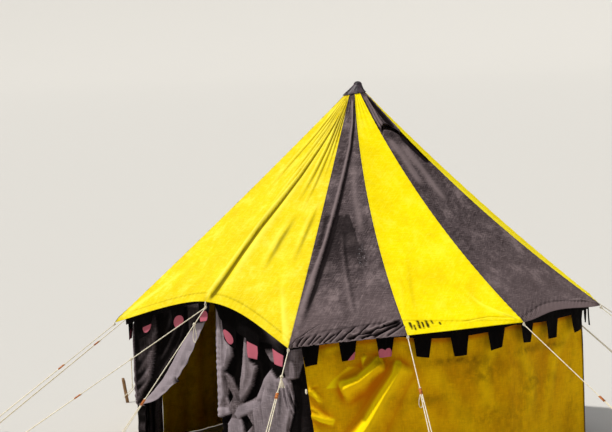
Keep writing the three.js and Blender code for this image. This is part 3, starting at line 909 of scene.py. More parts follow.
def roof_stains(place, share):
    """Damp spots on gore 1, mildew on gore 2, and dirt in the hem's corners."""
    bay, along = in_bay(place)
    damp = sum(
        strength * bell(along, wide, spot) * bell(share, tall, level)
        for spot, wide, level, tall, strength in DAMP_SPOTS)
    mildew = sum(stroke(place, share, *mark) for mark in MILDEW)
    from_hem = (share - hem_line(place)) * SLOPE_LENGTH
    corner = bell(from_hem, 0.25) * bell(np.minimum(along, 1 - along), 0.06)
    dirt = np.where(bay % 2 == 1, 0.3, 0.08) * corner
    return np.clip(np.where(bay == 1, damp, 0) + MILDEW_STRENGTH * mildew + dirt, 0, 4)


def roof_paler_paint(place, share):
    """How much paler the black cloth is painted: the lower parts of gores 1 and 3, and the others' hem bands,
    whose paler tone is painted light.
    """
    bay, along = in_bay(place)
    in_band = np.clip(from_band(place, share) / 0.008, 0, 1)
    gore_1 = 0.45 * smooth_step(share, 0.72, 0.93) * (1 - 0.5 * bell(along, 0.14, 0.5))
    gore_3 = np.maximum(in_band, 0.4 * smooth_step(share, 0.62, 0.85))
    return np.where(bay == 1, gore_1, np.where(bay == 3, gore_3, in_band))


def row_shares(rows_above, rows_below):
    """Shares of the way from the first row to the hem, closer together near the hem."""
    above = np.linspace(0, 0.9, rows_above, endpoint=False)
    return np.concatenate([above, np.linspace(0.9, 1, rows_below)])


def roof_grid(places, start, end, steps):
    place, step = np.meshgrid(places, steps)
    share = start(place) + (end(place) - start(place)) * step
    return place, share, roof_cloth(place, share)


FINE = {"columns": 105, "rows": (105, 42)}
MARKED = {"columns": 140, "rows": (80, 50)}
WIDE = {"columns": 82, "rows": (122, 34)}
PLEATED = {"columns": 175, "rows": (100, 70)}
PLAIN = {"columns": 36, "rows": (60, 20)}
ROOF_PANELS = [
    ("roof_panel_entrance", -1, 1, entrance_canvas, "canvas_yellow", WIDE),
    ("roof_panel_1", 1, 2, black_canvas, "canvas_black", PLEATED),
    ("roof_panel_2", 2, 3, yellow_canvas, "canvas_yellow", MARKED),
    ("roof_panel_3", 3, 4, black_canvas, "canvas_black", FINE),
    ("roof_panel_4", 4, 5, yellow_canvas, "canvas_yellow", PLAIN),
    ("roof_panel_back", 5, 7, black_canvas, "canvas_black", PLAIN),
    ("roof_panel_7", 7, 8, yellow_canvas, "canvas_yellow", PLAIN),
    ("roof_panel_8", 8, 9, black_canvas, "canvas_black", PLAIN),
    ("roof_panel_9", 9, 10, yellow_canvas, "canvas_yellow", PLAIN),
    ("roof_panel_10", 10, 11, black_canvas, "canvas_black", PLAIN),
]


JUST_INSIDE = 1e-6


def inside_bays(places, end):
    """The last place belongs to the bay before it, so that no panel reads its neighbour's folds."""
    return np.minimum(places, end - JUST_INSIDE)


VENT_ROWS = 54
LIP_LIFT = {"upper": 0.02, "lower": 0.03, "recess": 0.022, "below": 0.075}


def vent_sheets(places, fineness):
    """Two sheets as one grid: the one above the slit stands off, and the one below it starts recessed."""
    below = row_shares(fineness["rows"][0] - 30, fineness["rows"][1])
    sheets = [
        roof_grid(places, neck_line, lambda p: vent_edges(p)[0], np.linspace(0, 1, VENT_ROWS)),
        roof_grid(places, lambda p: vent_edges(p)[1], hem_line, below)]
    place, share, points = (np.concatenate(parts) for parts in zip(*sheets))
    upper, lower, opened = vent_edges(place)
    from_lip = (share - lower) * SLOPE_LENGTH
    stand = LIP_LIFT["lower"] * bell(from_lip, 0.05, LIP_LIFT["below"])
    stand = stand - LIP_LIFT["recess"] * bell(from_lip, 0.03)
    stand[:VENT_ROWS] = (LIP_LIFT["upper"] * bell(share, 0.012, upper))[:VENT_ROWS]
    faces = grid_faces(*place.shape)
    faces = faces[faces[:, 0] // len(places) != VENT_ROWS - 1]
    return place, share, points + off_slope(place * BAY_TURN) * (stand * opened)[..., None], faces


def neck_line(place):
    return NECK + 0 * place


def roof_panel(name, start, end, material, slot_name, fineness):
    bays = end - start
    places = inside_bays(np.linspace(start, end, fineness["columns"] * bays + 1), end)
    if start == VENT["bay"]:
        place, share, points, faces = vent_sheets(places, fineness)
    else:
        place, share, points = roof_grid(places, neck_line, hem_line, row_shares(*fineness["rows"]))
        faces = grid_faces(*place.shape)
    piece = mesh_piece(name + "_cloth", points.reshape(-1, 3), faces, material, *cloth_marks(place, share))
    if start == VENT["bay"]:
        weld(piece)
    thicken(piece)
    dress(piece, name)


for panel in ROOF_PANELS:
    roof_panel(*panel)


# Valance
TAB_COLUMNS = 14
GAP_COLUMNS = 6


def valance_columns(bay):
    """Places across one bay, the tab that each is on or -1, and its side from -1 to 1 on that tab."""
    columns = []
    for tab in range(TABS_IN_BAY):
        start, middle, end = ((tab + part) / TABS_IN_BAY for part in (0, 0.5, 1))
        before = np.linspace(start, middle - TAB_TOP_HALF, GAP_COLUMNS, endpoint=False)
        after = np.linspace(middle + TAB_TOP_HALF, end, GAP_COLUMNS, endpoint=False)[1:]
        sides = np.linspace(-1, 1, TAB_COLUMNS + 1)
        columns += [(bay + place, -1, 0) for place in before]
        columns += [(bay + middle + TAB_TOP_HALF * side, tab, side) for side in sides]
        columns += [(bay + place, -1, 0) for place in after]
    return columns


def droop(place):
    """How far the valance hangs below its usual line. At the entrance it hangs deepest on the left."""
    bay, along = in_bay(place)
    skewed = ENTRANCE_DROOP * np.sin(np.pi * along**0.6)
    return np.where(bay == 0, skewed, 4 * of_bays(bay, VALANCE_DROOPS) * along * (1 - along))


def valance_ripple(place, down, loose):
    x = place * GORE_WIDTH
    wave = np.sin(2 * np.pi * x / 0.46 + 2 * np.sin(1.7 * x)) + 0.5 * np.sin(2 * np.pi * x / 0.21 + x)
    return 0.006 * wave * down + 0.028 * loose * down * np.sin(2 * np.pi * place * 2.5 + 1)


def lobe(side, down, middle, half_width, level, half_height):
    """Above 0 inside an oval of a tab."""
    return 4 * (1 - np.hypot((side - middle) / half_width, (down - level) / half_height))


# Shapes of the rose ends: side goes from -1 to 1 across a tab, and down from 0 at the band to 1 at its end
ROSE_SHAPES = {
    "corner": lambda side, down: (side - 0.35) * 1.2 + (down - 1) * 3.0 + 0.5,
    "double": lambda side, down: np.maximum(
        lobe(side, down, -0.5, 0.62, 0.9, 0.36), lobe(side, down, 0.42, 0.62, 0.9, 0.36)),
    "flat": lambda side, down: np.minimum(6 * (down - 0.45), lobe(side, down, 0.45, 0.72, 0.5, 0.34)),
    "round": lambda side, down: lobe(side, down, -0.25, 0.75, 0.62, 0.32),
    "kite": lambda side, down: 5 * np.minimum(
        down - 0.22 - 0.1 * side, 0.95 - np.abs(side + 0.1) - 0.35 * np.abs(down - 0.65)),
    "lower": lambda side, down: (down - 0.3 - 0.1 * side) * 4,
    "foot": lambda side, down: lobe(side, down, 0, 0.95, 0.78, 0.36),
}
ROSE_TABS = {
    # bay and tab
    (1, 1): "corner", (1, 2): "double", (0, 2): "lower", (0, 1): "kite", (0, 0): "round",
    (-1, 2): "foot", (-1, 1): "foot", (-1, 0): "flat", (-2, 2): "foot",
}


BAND_ROWS = 5
TAB_ROWS = 24
VALANCE_CANVAS = 0.0018
VALANCE_HOLLOWS = {"cells": (2, 4), "depth": 0.012}
TAB_CURL = 0.012
# A spot of painted sunlight on the valance's band
PAINTED_SUNLIT_SPOT = {"place": 0.68, "drift": 0.4, "half": 0.085, "down": 0.13, "from": 0.03, "strength": 1.3}


def valance_row(part, step, places, sides, curl, start, end):
    """Points of a row of the valance, its places, its way down from the roof and how far it stands out."""
    edge = inside_bays(places, end)
    roof = roof_cloth(edge, eave_line(edge) - VALANCE_INSET)[:, 2]
    hem = roof_point(edge, eave_line(edge))[:, 2]
    band_foot, tab_foot = (hem - drop - droop(edge) for drop in (BAND_DROP, TAB_DROP))
    above, below = (band_foot, tab_foot) if part == "tab" else (roof - CANVAS, band_foot)
    height = above + (below - above) * step
    on_tab = step if part == "tab" else 0
    narrowing = (TAB_BOTTOM_HALF / TAB_TOP_HALF - 1) * on_tab
    place = np.clip(places + sides * TAB_TOP_HALF * narrowing, start, end - JUST_INSIDE)
    loose = np.where((edge > 0) & (edge < 1), np.sin(np.pi * np.clip(edge, 0, 1)), 0)
    out = valance_ripple(place, (roof - height) / 0.35, loose) + curl * on_tab**2
    row = roof_cloth(place, eave_line(place) - VALANCE_INSET) + outward(place) * out[:, None]
    row[:, 2] = height
    return row, place, roof - height, out


def rose_ends(bay, tabs, sides, on_tab):
    """How rosy each place of a row is."""
    rose = np.zeros(len(tabs))
    for (rose_bay, tab), shape in ROSE_TABS.items():
        mask = np.clip(ROSE_SHAPES[shape](sides, on_tab) + 0.5, 0, 1)
        rose = np.where((tabs == tab) & (bay == rose_bay), mask, rose)
    return rose


# A pale spot on the valance's band: painted sunlight
def painted_sunlit_spot(edge, depth):
    painted_light = bell(edge - PAINTED_SUNLIT_SPOT["drift"] * depth, PAINTED_SUNLIT_SPOT["half"], PAINTED_SUNLIT_SPOT["place"])
    painted_light = painted_light * bell(depth, PAINTED_SUNLIT_SPOT["half"], PAINTED_SUNLIT_SPOT["down"])
    return PAINTED_SUNLIT_SPOT["strength"] * painted_light * (depth > PAINTED_SUNLIT_SPOT["from"])


def valance(name, start, end):
    columns = [column for bay in range(start, end) for column in valance_columns(bay)] + [(end, -1, 0)]
    places, tabs, sides = (np.array(part, float) for part in zip(*columns))
    edge, in_tab = inside_bays(places, end), tabs >= 0
    bay = np.floor(edge + 1e-9)
    curl = TAB_CURL * in_tab * np.sin(5.1 * edge + tabs)
    rows = [("band", step) for step in np.linspace(0, 1, BAND_ROWS)]
    rows += [("tab", step) for step in np.linspace(0, 1, TAB_ROWS + 1)[1:]]
    points, marks, cloth, heights = [], [], [], []
    for part, step in rows:
        row, place, depth, out = valance_row(part, step, places, sides, curl, start, end)
        on_tab = step if part == "tab" else 0
        points.append(row)
        marks.append(np.stack([0 * edge, painted_sunlit_spot(edge, depth), rose_ends(bay, tabs, sides, on_tab)], -1))
        cloth.append(np.stack([place * GORE_WIDTH, depth, 0.003 + np.abs(1 - np.abs(sides)) * 0.11], -1))
        heights.append(out)
    faces = grid_faces(len(rows), len(columns))
    row_of, column_of = np.divmod(faces[:, 0], len(columns))
    same_tab = in_tab[column_of] & (tabs[column_of] == tabs[column_of + 1])
    faces = faces[(row_of < BAND_ROWS - 1) | same_tab]
    vectors = {"cloth": np.concatenate(cloth), "marks": np.concatenate(marks)}
    sunk = {"hollow": hollows(np.array(heights), **VALANCE_HOLLOWS).ravel()}
    piece = mesh_piece(name + "_cloth", np.concatenate(points), faces, valance_canvas, vectors, sunk)
    weld(piece, 1e-6)
    thicken(piece, VALANCE_CANVAS, 0)
    dress(piece, name)


for valance_name, valance_start, valance_end in (
    ("valance_entrance", -2, 1), ("valance_right", 1, 4), ("valance_back", 4, 7), ("valance_left", 7, 10)):
    valance(valance_name, valance_start, valance_end)


# Walls and curtains
WALL_FOOT = 0.004
ABOVE_ALL = 9.0
FOOT_DIRT = {"strength": 0.5, "reach": 0.12}


def wall_line(place):
    return roof_cloth(place, eave_line(place) - WALL_INSET)


def wall_sides(columns, dense):
    """Shares of a wall's width. dense gives a first part of it and the columns of that part."""
    part, count = dense or (0, 0)
    first = np.linspace(0, part, count, endpoint=False)
    return np.concatenate([first, np.linspace(part, 1, columns - count + 1)])


def top_line(left, right, side):
    """The wall's upper edge. Its sides lean, so its places and its heights are worked out in turn."""
    height = ABOVE_ALL
    for _ in range(4):
        place = left(height) + (right(height) - left(height)) * side
        line = wall_line(inside_bays(place, math.ceil(right(ABOVE_ALL))))
        height = line[:, 2]
    return line


def foot_dirt(place, height):
    return FOOT_DIRT["strength"] * np.exp(-height / FOOT_DIRT["reach"])


def wall(name, left, right, bays, material, folds, columns=40, rows=50, fullness=1.05, stain=None,
         hollow_depth=0.018, shade=None, dense=None):
    """left and right give the place of each side edge at a height."""
    side = wall_sides(columns * bays, dense)
    top = top_line(left, right, side)
    points, cloth, marks, depths, grime_and_shade = [], [], [], [], []
    for step in np.linspace(0, 1, rows + 1):
        height = (top[:, 2] - CANVAS) * (1 - step) + WALL_FOOT * step
        place = left(height) + (right(height) - left(height)) * side
        x = place * WALL_WIDTH
        out = folds(place, x, height)
        row = wall_line(place) + outward(place) * out[:, None]
        row[:, 2] = height
        dirty = (stain or foot_dirt)(place, height)
        # The shade function gives painted light, and painted shade that is added to the hollow attribute
        painted_light, painted_shade = shade(place, height) if shade else (0 * x, 0 * x)
        points.append(row)
        cloth.append(np.stack([x, height, np.minimum(side, 1 - side) * bays * GORE_WIDTH], -1))
        marks.append(np.stack([dirty, painted_light, 0 * x], -1))
        depths.append(out)
        grime_and_shade.append(painted_shade)
    vectors = {"cloth": np.concatenate(cloth), "marks": np.concatenate(marks)}
    reach = (rows // 18, (dense[1] if dense else columns) // 14)
    sunk = np.clip(hollows(np.array(depths), reach, hollow_depth) + np.array(grime_and_shade), -1, 1).ravel()
    faces = grid_faces(rows + 1, len(side))
    piece = mesh_piece(name + "_cloth", np.concatenate(points), faces, material, vectors, {"hollow": sunk})
    thicken(piece)
    dress(piece, name)
    low, high = left(ABOVE_ALL), right(ABOVE_ALL)
    width = max(abs(right(0.0) - left(0.0)), abs(high - low)) * WALL_WIDTH * fullness


def blend_edge(values):
    def edge(height):
        return values["foot"] + (values["top"] - values["foot"]) * np.clip(np.asarray(height) / 1.9, 0, 1)
    return edge


def fixed(place):
    return lambda height: place + 0 * np.asarray(height, float)


def hang_free(height, top=1.85):
    """Nothing at the roof, all of it further down."""
    return smooth_step(top - height, 0, 0.6)


def inside_patch(place, height, corners, soft):
    """1 inside a patch of a wall and 0 outside it, over a soft edge. Its corners are places and heights."""
    x, outline = place * WALL_WIDTH, [(p * WALL_WIDTH, h) for p, h in corners]
    nearest = np.full(np.shape(x), np.inf)
    inside = np.zeros(np.shape(x), bool)
    for (ax, ay), (bx, by) in zip(outline, outline[1:] + outline[:1]):
        right, up = bx - ax, by - ay
        share = np.clip(((x - ax) * right + (height - ay) * up) / (right**2 + up**2), 0, 1)
        nearest = np.minimum(nearest, np.hypot(x - ax - share * right, height - ay - share * up))
        if ay != by:
            inside ^= ((ay > height) != (by > height)) & (x < ax + right * (height - ay) / up)
    return smooth_step(np.where(inside, nearest, -nearest), -soft, soft)


def layered(place, height, patches, part, soft):
    """One part of the last patch that covers each point, and 0 where none does."""
    total = 0 * place
    for patch in patches:
        share = inside_patch(place, height, patch[0], soft)
        total = total * (1 - share) + patch[part] * share
    return total


PATCH_EDGE = {"depth": 0.014, "tone": 0.006}


def patch_depth(place, height, patches):
    return layered(place, height, patches, 1, PATCH_EDGE["depth"])


def patch_shade(patches):
    """How much painted light and how much painted shade the patches lay on."""
    def shade(place, height):
        tone = layered(place, height, patches, 2, PATCH_EDGE["tone"])
        return np.clip(-tone, 0, 1), np.clip(tone, 0, 1)
    return shade


CURTAIN_TOP = 1.95
TOGGLE_HEIGHTS = (1.1, 0.58)
YELLOW_FOLDS = [
    (crease, [(2.0, 1.42), (1.93, 1.26), (1.82, 1.05), (1.67, 0.74), (1.5, 0.45), (1.4, 0.2)],
     ((0.09, 0.15), (0.2, 0.3)), (0.12, 0.16), (0.06, 0.3)),
    (crease, [(1.84, 1.44), (1.72, 1.33), (1.6, 1.21), (1.4, 1.1)],
     ((0.1, 0.11), (0.13, 0.2)), 0.165, (0.15, 0.15)),
    (crease, [(1.66, 1.5), (1.64, 1.42), (1.63, 1.34)], ((0.03, 0.03), (0.04, 0.05)), 0.02, (0.2, 0.2)),
    (crease, [(1.12, 1.12), (1.2, 1.04), (1.26, 0.96)], (0.05, 0.04), 0.05, (0.1, 0.4)),
    (crease, [(1.13, 0.84), (1.24, 0.8), (1.38, 0.74)], (0.06, 0.05), 0.06, (0.1, 0.4)),
    (crease, [(1.13, 0.92), (1.22, 0.86), (1.3, 0.78)], (0.03, 0.03), 0.03, (0.1, 0.4)),
    (ridge, [(1.26, 1.5), (1.42, 1.6), (1.66, 1.7)], 0.06, 0.02, (0.2, 0.4)),
    (ridge, [(2.05, 1.5), (2.4, 1.1), (2.6, 0.6), (2.7, 0.2)], (0.08, 0.14), 0.012, (0.3, 0.3)),
    (ridge, [(2.9, 1.6), (2.75, 1.2), (2.8, 0.7)], 0.08, 0.018, (0.2, 0.3)),
    (ridge, [(3.1, 1.5), (3.3, 1.0), (3.2, 0.5)], 0.09, 0.018, (0.2, 0.3)),
    (ridge, [(3.9, 1.6), (3.6, 1.2), (3.5, 0.6)], 0.08, 0.018, (0.2, 0.3)),
]


def toggle_fans():
    """Small folds that fan out from each toggle."""
    folds = []
    for toggle in TOGGLE_HEIGHTS:
        for number in (-2, -1, 0, 1, 2):
            route = [(1.09, toggle), (1.17, toggle + 0.03 * number), (1.26, toggle + 0.06 * number)]
            folds.append((ridge, route, 0.012, 0.011 * (-1) ** number, (0.05, 0.8)))
    return folds


def yellow_folds(place, x, height):
    soft = 0.009 * waves(x, 0.6 * height, 2.0) + 0.004 * crumple(x, height, 0.7, 0.35)
    return soft * hang_free(height) + on_wall(x, height, YELLOW_FOLDS + toggle_fans())


# Patches of painted sunlight on the bulging folds: corners as places and heights, how far each stands out,
# and its tone, -1 fully lit
YELLOW_PAINTED_SUNLIGHT = [
    ([(1.94, 1.42), (2.0, 1.42), (1.93, 1.26), (1.82, 1.05), (1.67, 0.74), (1.45, 0.35), (1.28, 0.35),
      (1.53, 0.74), (1.72, 1.05)], 0, -1.0),
    ([(1.15, 1.1), (1.19, 1.08), (1.24, 0.98), (1.2, 0.98)], 0, -0.8),
    ([(1.15, 0.83), (1.24, 0.82), (1.36, 0.78), (1.34, 0.72), (1.22, 0.75)], 0, -0.8),
    ([(1.28, 1.12), (1.36, 1.23), (1.5, 1.36), (1.58, 1.36), (1.63, 1.33), (1.62, 1.46), (1.7, 1.48),
      (1.85, 1.46), (1.75, 1.38), (1.67, 1.28), (1.57, 1.21), (1.43, 1.13)], 0, -1.0),
]


def yellow_shade(place, height):
    """Painted sunlight where the wall bulges, and painted orange shade just under the valance's band."""
    painted_light, painted_shade = patch_shade(YELLOW_PAINTED_SUNLIGHT)(place, height)
    below = roof_point(place, eave_line(place))[..., 2] - BAND_DROP - droop(place) - height
    return painted_light, painted_shade + bell(below, 0.035, 0.03)


YELLOW_STAINS = [
    # place, height, half width in bays, half height and strength
    (2.75, 1.2, 0.25, 0.14, 0.7), (2.25, 0.95, 0.3, 0.08, 0.5), (3.3, 1.0, 0.25, 0.2, 0.6),
    (1.5, 1.5, 0.25, 0.08, 0.6), (1.85, 1.42, 0.12, 0.06, 0.7), (2.5, 1.36, 0.3, 0.05, 0.8),
    (2.9, 0.7, 0.4, 0.15, 0.5), (3.2, 1.38, 0.2, 0.05, 0.7), (3.6, 1.36, 0.2, 0.05, 0.7)]


def yellow_stains(place, height):
    stain = 0.6 * np.exp(-height / 0.25)
    for spot, level, wide, tall, strength in YELLOW_STAINS:
        stain = stain + strength * bell(place, wide, spot) * bell(height, tall, level)
    return np.clip(stain, 0, 1)


def plain_folds(seed, depth):
    """Soft hanging folds for the walls that the front doesn't show."""
    def folds(place, x, height):
        wave = np.sin(2 * np.pi * x / 0.62 + 2 * np.sin(0.9 * x + seed))
        wave = wave + 0.6 * np.sin(2 * np.pi * x / 0.31 + seed + 1.3 * np.sin(2.1 * x))
        lean = 0.12 * np.sin(2.3 * x + seed) * (1.9 - height)
        wave = wave + 0.6 * np.sin(2 * np.pi * (x + lean) / 0.45 + seed)
        return (depth * wave + 0.005 * crumple(x, height, seed, 0.4)) * hang_free(height)
    return folds


RIGHT_CURTAIN_PATCHES = [
    # corners as places and heights, how far the patch stands out, and its tone: 1 painted shade, -1 painted
    # highlight
    ([(0.1, 1.85), (0.95, 1.85), (0.9, 1.45), (0.87, 1.23), (0.81, 1.2), (0.76, 1.21), (0.68, 1.29),
      (0.59, 1.19), (0.5, 0.99), (0.37, 0.91), (0.26, 0.87), (0.4, 1.08), (0.47, 1.29), (0.38, 1.35),
      (0.36, 1.6)], -0.05, 1.0),
    ([(0.58, 1.51), (0.73, 1.52), (0.76, 1.36), (0.67, 1.38), (0.6, 1.47)], -0.02, 0.3),
    ([(-0.2, 1.9), (-0.03, 1.9), (0.01, 1.5), (-0.01, 1.2), (0.01, 0.94), (-0.04, 0.8), (-0.2, 0.8)],
     0.01, -0.5),
    ([(0.0, 1.85), (0.1, 1.85), (0.13, 1.4), (-0.01, 1.2), (0.01, 1.5)], 0.01, -0.4),
    ([(0.0, 1.21), (0.12, 1.4), (0.14, 1.75), (0.33, 1.75), (0.28, 1.34), (0.23, 1.07), (0.19, 0.99),
      (0.11, 1.13)], -0.055, 1.0),
    ([(0.01, 1.18), (0.11, 1.12), (0.19, 0.99), (0.22, 0.88), (0.11, 0.85), (0.04, 0.97)], -0.01, 0.2),
    ([(0.07, 1.01), (0.11, 0.93), (0.07, 0.85), (0.03, 0.92)], -0.05, 1.0),
    ([(0.31, 1.63), (0.38, 1.63), (0.38, 1.35), (0.47, 1.29), (0.4, 1.08), (0.29, 0.95), (0.22, 0.87),
      (0.23, 1.07), (0.28, 1.34)], 0.02, 0.12),
    ([(0.59, 1.19), (0.68, 1.29), (0.76, 1.21), (0.87, 1.23), (0.93, 1.16), (0.94, 0.89), (0.88, 0.65),
      (0.85, 0.0), (0.42, 0.0), (0.43, 0.58), (0.41, 0.78), (0.49, 0.98)], 0.025, -0.15),
    ([(0.89, 1.46), (0.98, 1.42), (1.03, 1.25), (0.97, 1.22), (0.91, 1.22), (0.87, 1.3)], 0.02, 0.3),
    ([(0.95, 1.22), (1.03, 1.25), (1.07, 1.4), (1.3, 1.4), (1.3, 0.0), (0.92, 0.0), (0.91, 0.66),
      (0.97, 0.87), (0.98, 1.05)], -0.03, 1.0),
    ([(-0.2, 0.79), (0.07, 0.8), (0.09, 0.74), (0.06, 0.69), (0.0, 0.71), (-0.05, 0.62), (-0.2, 0.62)],
     0.02, -0.6),
    ([(0.14, 0.73), (0.2, 0.83), (0.36, 0.89), (0.46, 0.92), (0.58, 0.95), (0.5, 0.86), (0.35, 0.77),
      (0.18, 0.68)], 0.01, -0.35),
    ([(-0.2, 0.61), (0.0, 0.7), (0.1, 0.73), (0.08, 0.66), (0.02, 0.5), (-0.2, 0.3)], -0.04, 1.0),
    ([(0.04, 0.62), (0.1, 0.68), (0.24, 0.67), (0.26, 0.5), (0.24, 0.2), (0.03, 0.2)], 0.01, -0.3),
    ([(0.22, 0.7), (0.3, 0.73), (0.38, 0.63), (0.29, 0.5), (0.25, 0.62)], -0.04, 1.0),
]
RIGHT_CURTAIN_FOLDS = [
    (ridge, [(-0.05, 1.8), (-0.05, 1.2), (-0.05, 0.6), (-0.04, 0.0)], 0.016, 0.014, (0.02, 0)),
    (ridge, [(-0.01, 1.74), (-0.02, 1.4), (-0.025, 1.1), (-0.02, 0.86)], 0.01, -0.01, (0.05, 0.1)),
    (ridge, [(0.08, 1.5), (0.08, 1.38), (0.02, 1.24)], 0.014, 0.02, (0.1, 0.2)),
    (ridge, [(0.34, 1.6), (0.34, 1.4), (0.33, 1.2), (0.27, 1.0)], 0.024, 0.02, (0.1, 0.2)),
    (ridge, [(0.0, 1.18), (0.03, 1.04), (0.03, 0.9)], 0.008, -0.022, (0.1, 0.2)),
    (ridge, [(0.62, 1.1), (0.62, 0.8), (0.6, 0.4), (0.6, 0.0)], 0.16, 0.03, (0.15, 0)),
    (pleat, [(0.76, 1.2), (0.8, 1.0), (0.78, 0.7)], 0.03, 0.012, (0.2, 0.4)),
    (pleat, [(0.62, 1.15), (0.56, 0.9), (0.6, 0.6)], 0.03, -0.01, (0.2, 0.4)),
    (pleat, [(0.85, 1.18), (0.87, 1.02), (0.93, 0.82)], 0.018, 0.02, (0.2, 0.3)),
    (pleat, [(0.89, 1.18), (0.93, 1.02), (0.99, 0.82)], 0.018, 0.024, (0.2, 0.3)),
    (pleat, [(0.94, 1.16), (0.98, 1.02), (1.04, 0.86)], 0.018, 0.02, (0.2, 0.3)),
    (pleat, [(0.9, 1.05), (0.93, 0.9), (0.96, 0.78)], 0.014, 0.016, (0.2, 0.3)),
    (ridge, [(0.33, 0.66), (0.35, 0.35), (0.36, 0.0)], 0.05, 0.035, (0.2, 0)),
]


def right_curtain_folds(place, x, height):
    ruffle = 0.004 * np.sin(2 * np.pi * height / 0.075 + 2 * np.sin(9 * height))
    ruffle = ruffle * (1 - smooth_step(place, -0.05, 0.03))
    out = on_wall(x, height, RIGHT_CURTAIN_FOLDS) + patch_depth(place, height, RIGHT_CURTAIN_PATCHES)
    out = out + ruffle + 0.01 * crumple(x, height, 0.3, 0.25) + 0.009 * crumple(x, height, 2.1, 0.1)
    joined_edge = smooth_step(place, 0.98, 1.06)
    return out * hang_free(height, CURTAIN_TOP) * (1 - joined_edge) - 0.012 * joined_edge


def swept_edge(height):
    """The left curtain's free edge: swept back to its tie, and straight below that."""
    height = np.asarray(height, float)
    top, tie, foot = (LEFT_CURTAIN[key] for key in ("top", "tie", "foot"))
    above = tie + (top - tie) * np.clip((height - TIE_HEIGHT) / SWEEP_HEIGHT, 0, 1) ** SWEEP_POWER
    below = foot + (tie - foot) * np.clip(height / TIE_HEIGHT, 0, 1)
    return np.where(height > TIE_HEIGHT, above, below)


# Corners, how far each patch stands out, and its tone: the positive tones are painted shade over the left
# wall, the negative one a painted highlight on the swept strip
LEFT_CURTAIN_PATCHES = [
    ([(-1.75, 1.9), (-0.2, 1.9), (-0.8, 0.7), (-1.0, 0.0), (-1.7, 0.0)], -0.01, 0.78),
    ([(-1.02, 1.64), (-1.12, 1.64), (-1.09, 0.4), (-1.04, 0.4)], 0.03, 0.1),
    ([(-1.32, 1.64), (-1.38, 1.64), (-1.38, 0.4), (-1.34, 0.4)], 0.03, 0.3),
    ([(-0.47, 1.9), (-0.47, 1.57), (-0.73, 1.03), (-0.91, 0.72), (-1.0, 0.7), (-0.88, 1.0), (-0.8, 1.6),
      (-0.8, 1.9)], -0.05, 1.0),
    ([(-0.35, 1.72), (-0.47, 1.57), (-0.73, 1.03), (-0.92, 0.72), (-0.98, 0.68), (0.0, 0.64), (0.0, 1.75)],
     0.035, -0.6),
    ([(-0.6, 1.05), (-0.585, 1.05), (-0.585, 1.0), (-0.61, 0.99)], -0.02, 1.0),
    ([(-1.3, 0.68), (-0.95, 0.66), (-0.7, 0.62), (-0.7, 0.0), (-1.3, 0.0)], -0.01, 0.9),
]
LEFT_CURTAIN_FOLDS = [
    (ridge, [(-0.4, 1.6), (-0.62, 1.05), (-0.8, 0.82)], 0.03, 0.01, (0.2, 0.3)),
    (ridge, [(-0.36, 1.5), (-0.52, 1.08), (-0.7, 0.9)], 0.02, -0.008, (0.2, 0.3)),
    (ridge, [(-1.2, 1.7), (-1.19, 1.0), (-1.2, 0.0)], 0.035, -0.035, (0.15, 0)),
    (ridge, [(-1.5, 1.7), (-1.52, 1.0), (-1.5, 0.0)], 0.04, -0.03, (0.15, 0)),
    (ridge, [(-1.68, 1.7), (-1.66, 1.0), (-1.68, 0.0)], 0.05, 0.03, (0.15, 0)),
    (ridge, [(-1.84, 1.7), (-1.85, 1.0), (-1.83, 0.0)], 0.045, -0.03, (0.15, 0)),
]


def left_curtain_folds(place, x, height):
    inside = (swept_edge(height) - place) * WALL_WIDTH
    roll = 0.012 * bell(inside, 0.03) * smooth_step(height, TIE_HEIGHT, TIE_HEIGHT + 0.15)
    ruffle = 0.006 * np.sin(2 * np.pi * height / 0.13 + 2 * np.sin(7 * height)) * np.exp(-inside / 0.07)
    pulled = 0.006 * np.sin(2 * np.pi * inside / 0.11 + 0.5) * bell(inside, 0.25, 0.45)
    out = on_wall(x, height, LEFT_CURTAIN_FOLDS) + patch_depth(place, height, LEFT_CURTAIN_PATCHES)
    small = 0.007 * crumple(x, height, 1.1, 0.3) + 0.003 * crumple(x, height, 2.6, 0.09)
    return (out + roll + ruffle + pulled + small) * hang_free(height, CURTAIN_TOP)


wall("wall_right", blend_edge(COLOUR_EDGE), fixed(4 - JUST_INSIDE), 3, yellow_wall_canvas,
     yellow_folds, columns=70, rows=120, stain=yellow_stains, shade=yellow_shade, dense=(0.34, 130))
wall("wall_back", fixed(4), fixed(7 - JUST_INSIDE), 3, curtain_canvas,
     plain_folds(0.4, 0.012))
wall("wall_left", fixed(7), fixed(10 - JUST_INSIDE), 3, yellow_wall_canvas,
     plain_folds(1.9, 0.009))
wall("entrance_curtain_right", fixed(RIGHT_CURTAIN_EDGE), blend_edge(COLOUR_EDGE), 1, curtain_canvas,
     right_curtain_folds, columns=170, rows=155, fullness=1.15, hollow_depth=0.026,
     shade=patch_shade(RIGHT_CURTAIN_PATCHES))
wall("entrance_curtain_left", fixed(-2), swept_edge, 2, curtain_canvas, left_curtain_folds,
     columns=80, rows=110, fullness=1.1, hollow_depth=0.024, shade=patch_shade(LEFT_CURTAIN_PATCHES))


TOGGLE = {"length": 0.06, "radius": 0.014, "stand": 0.022, "from_seam": 0.012, "sides": 16, "rows": 14}


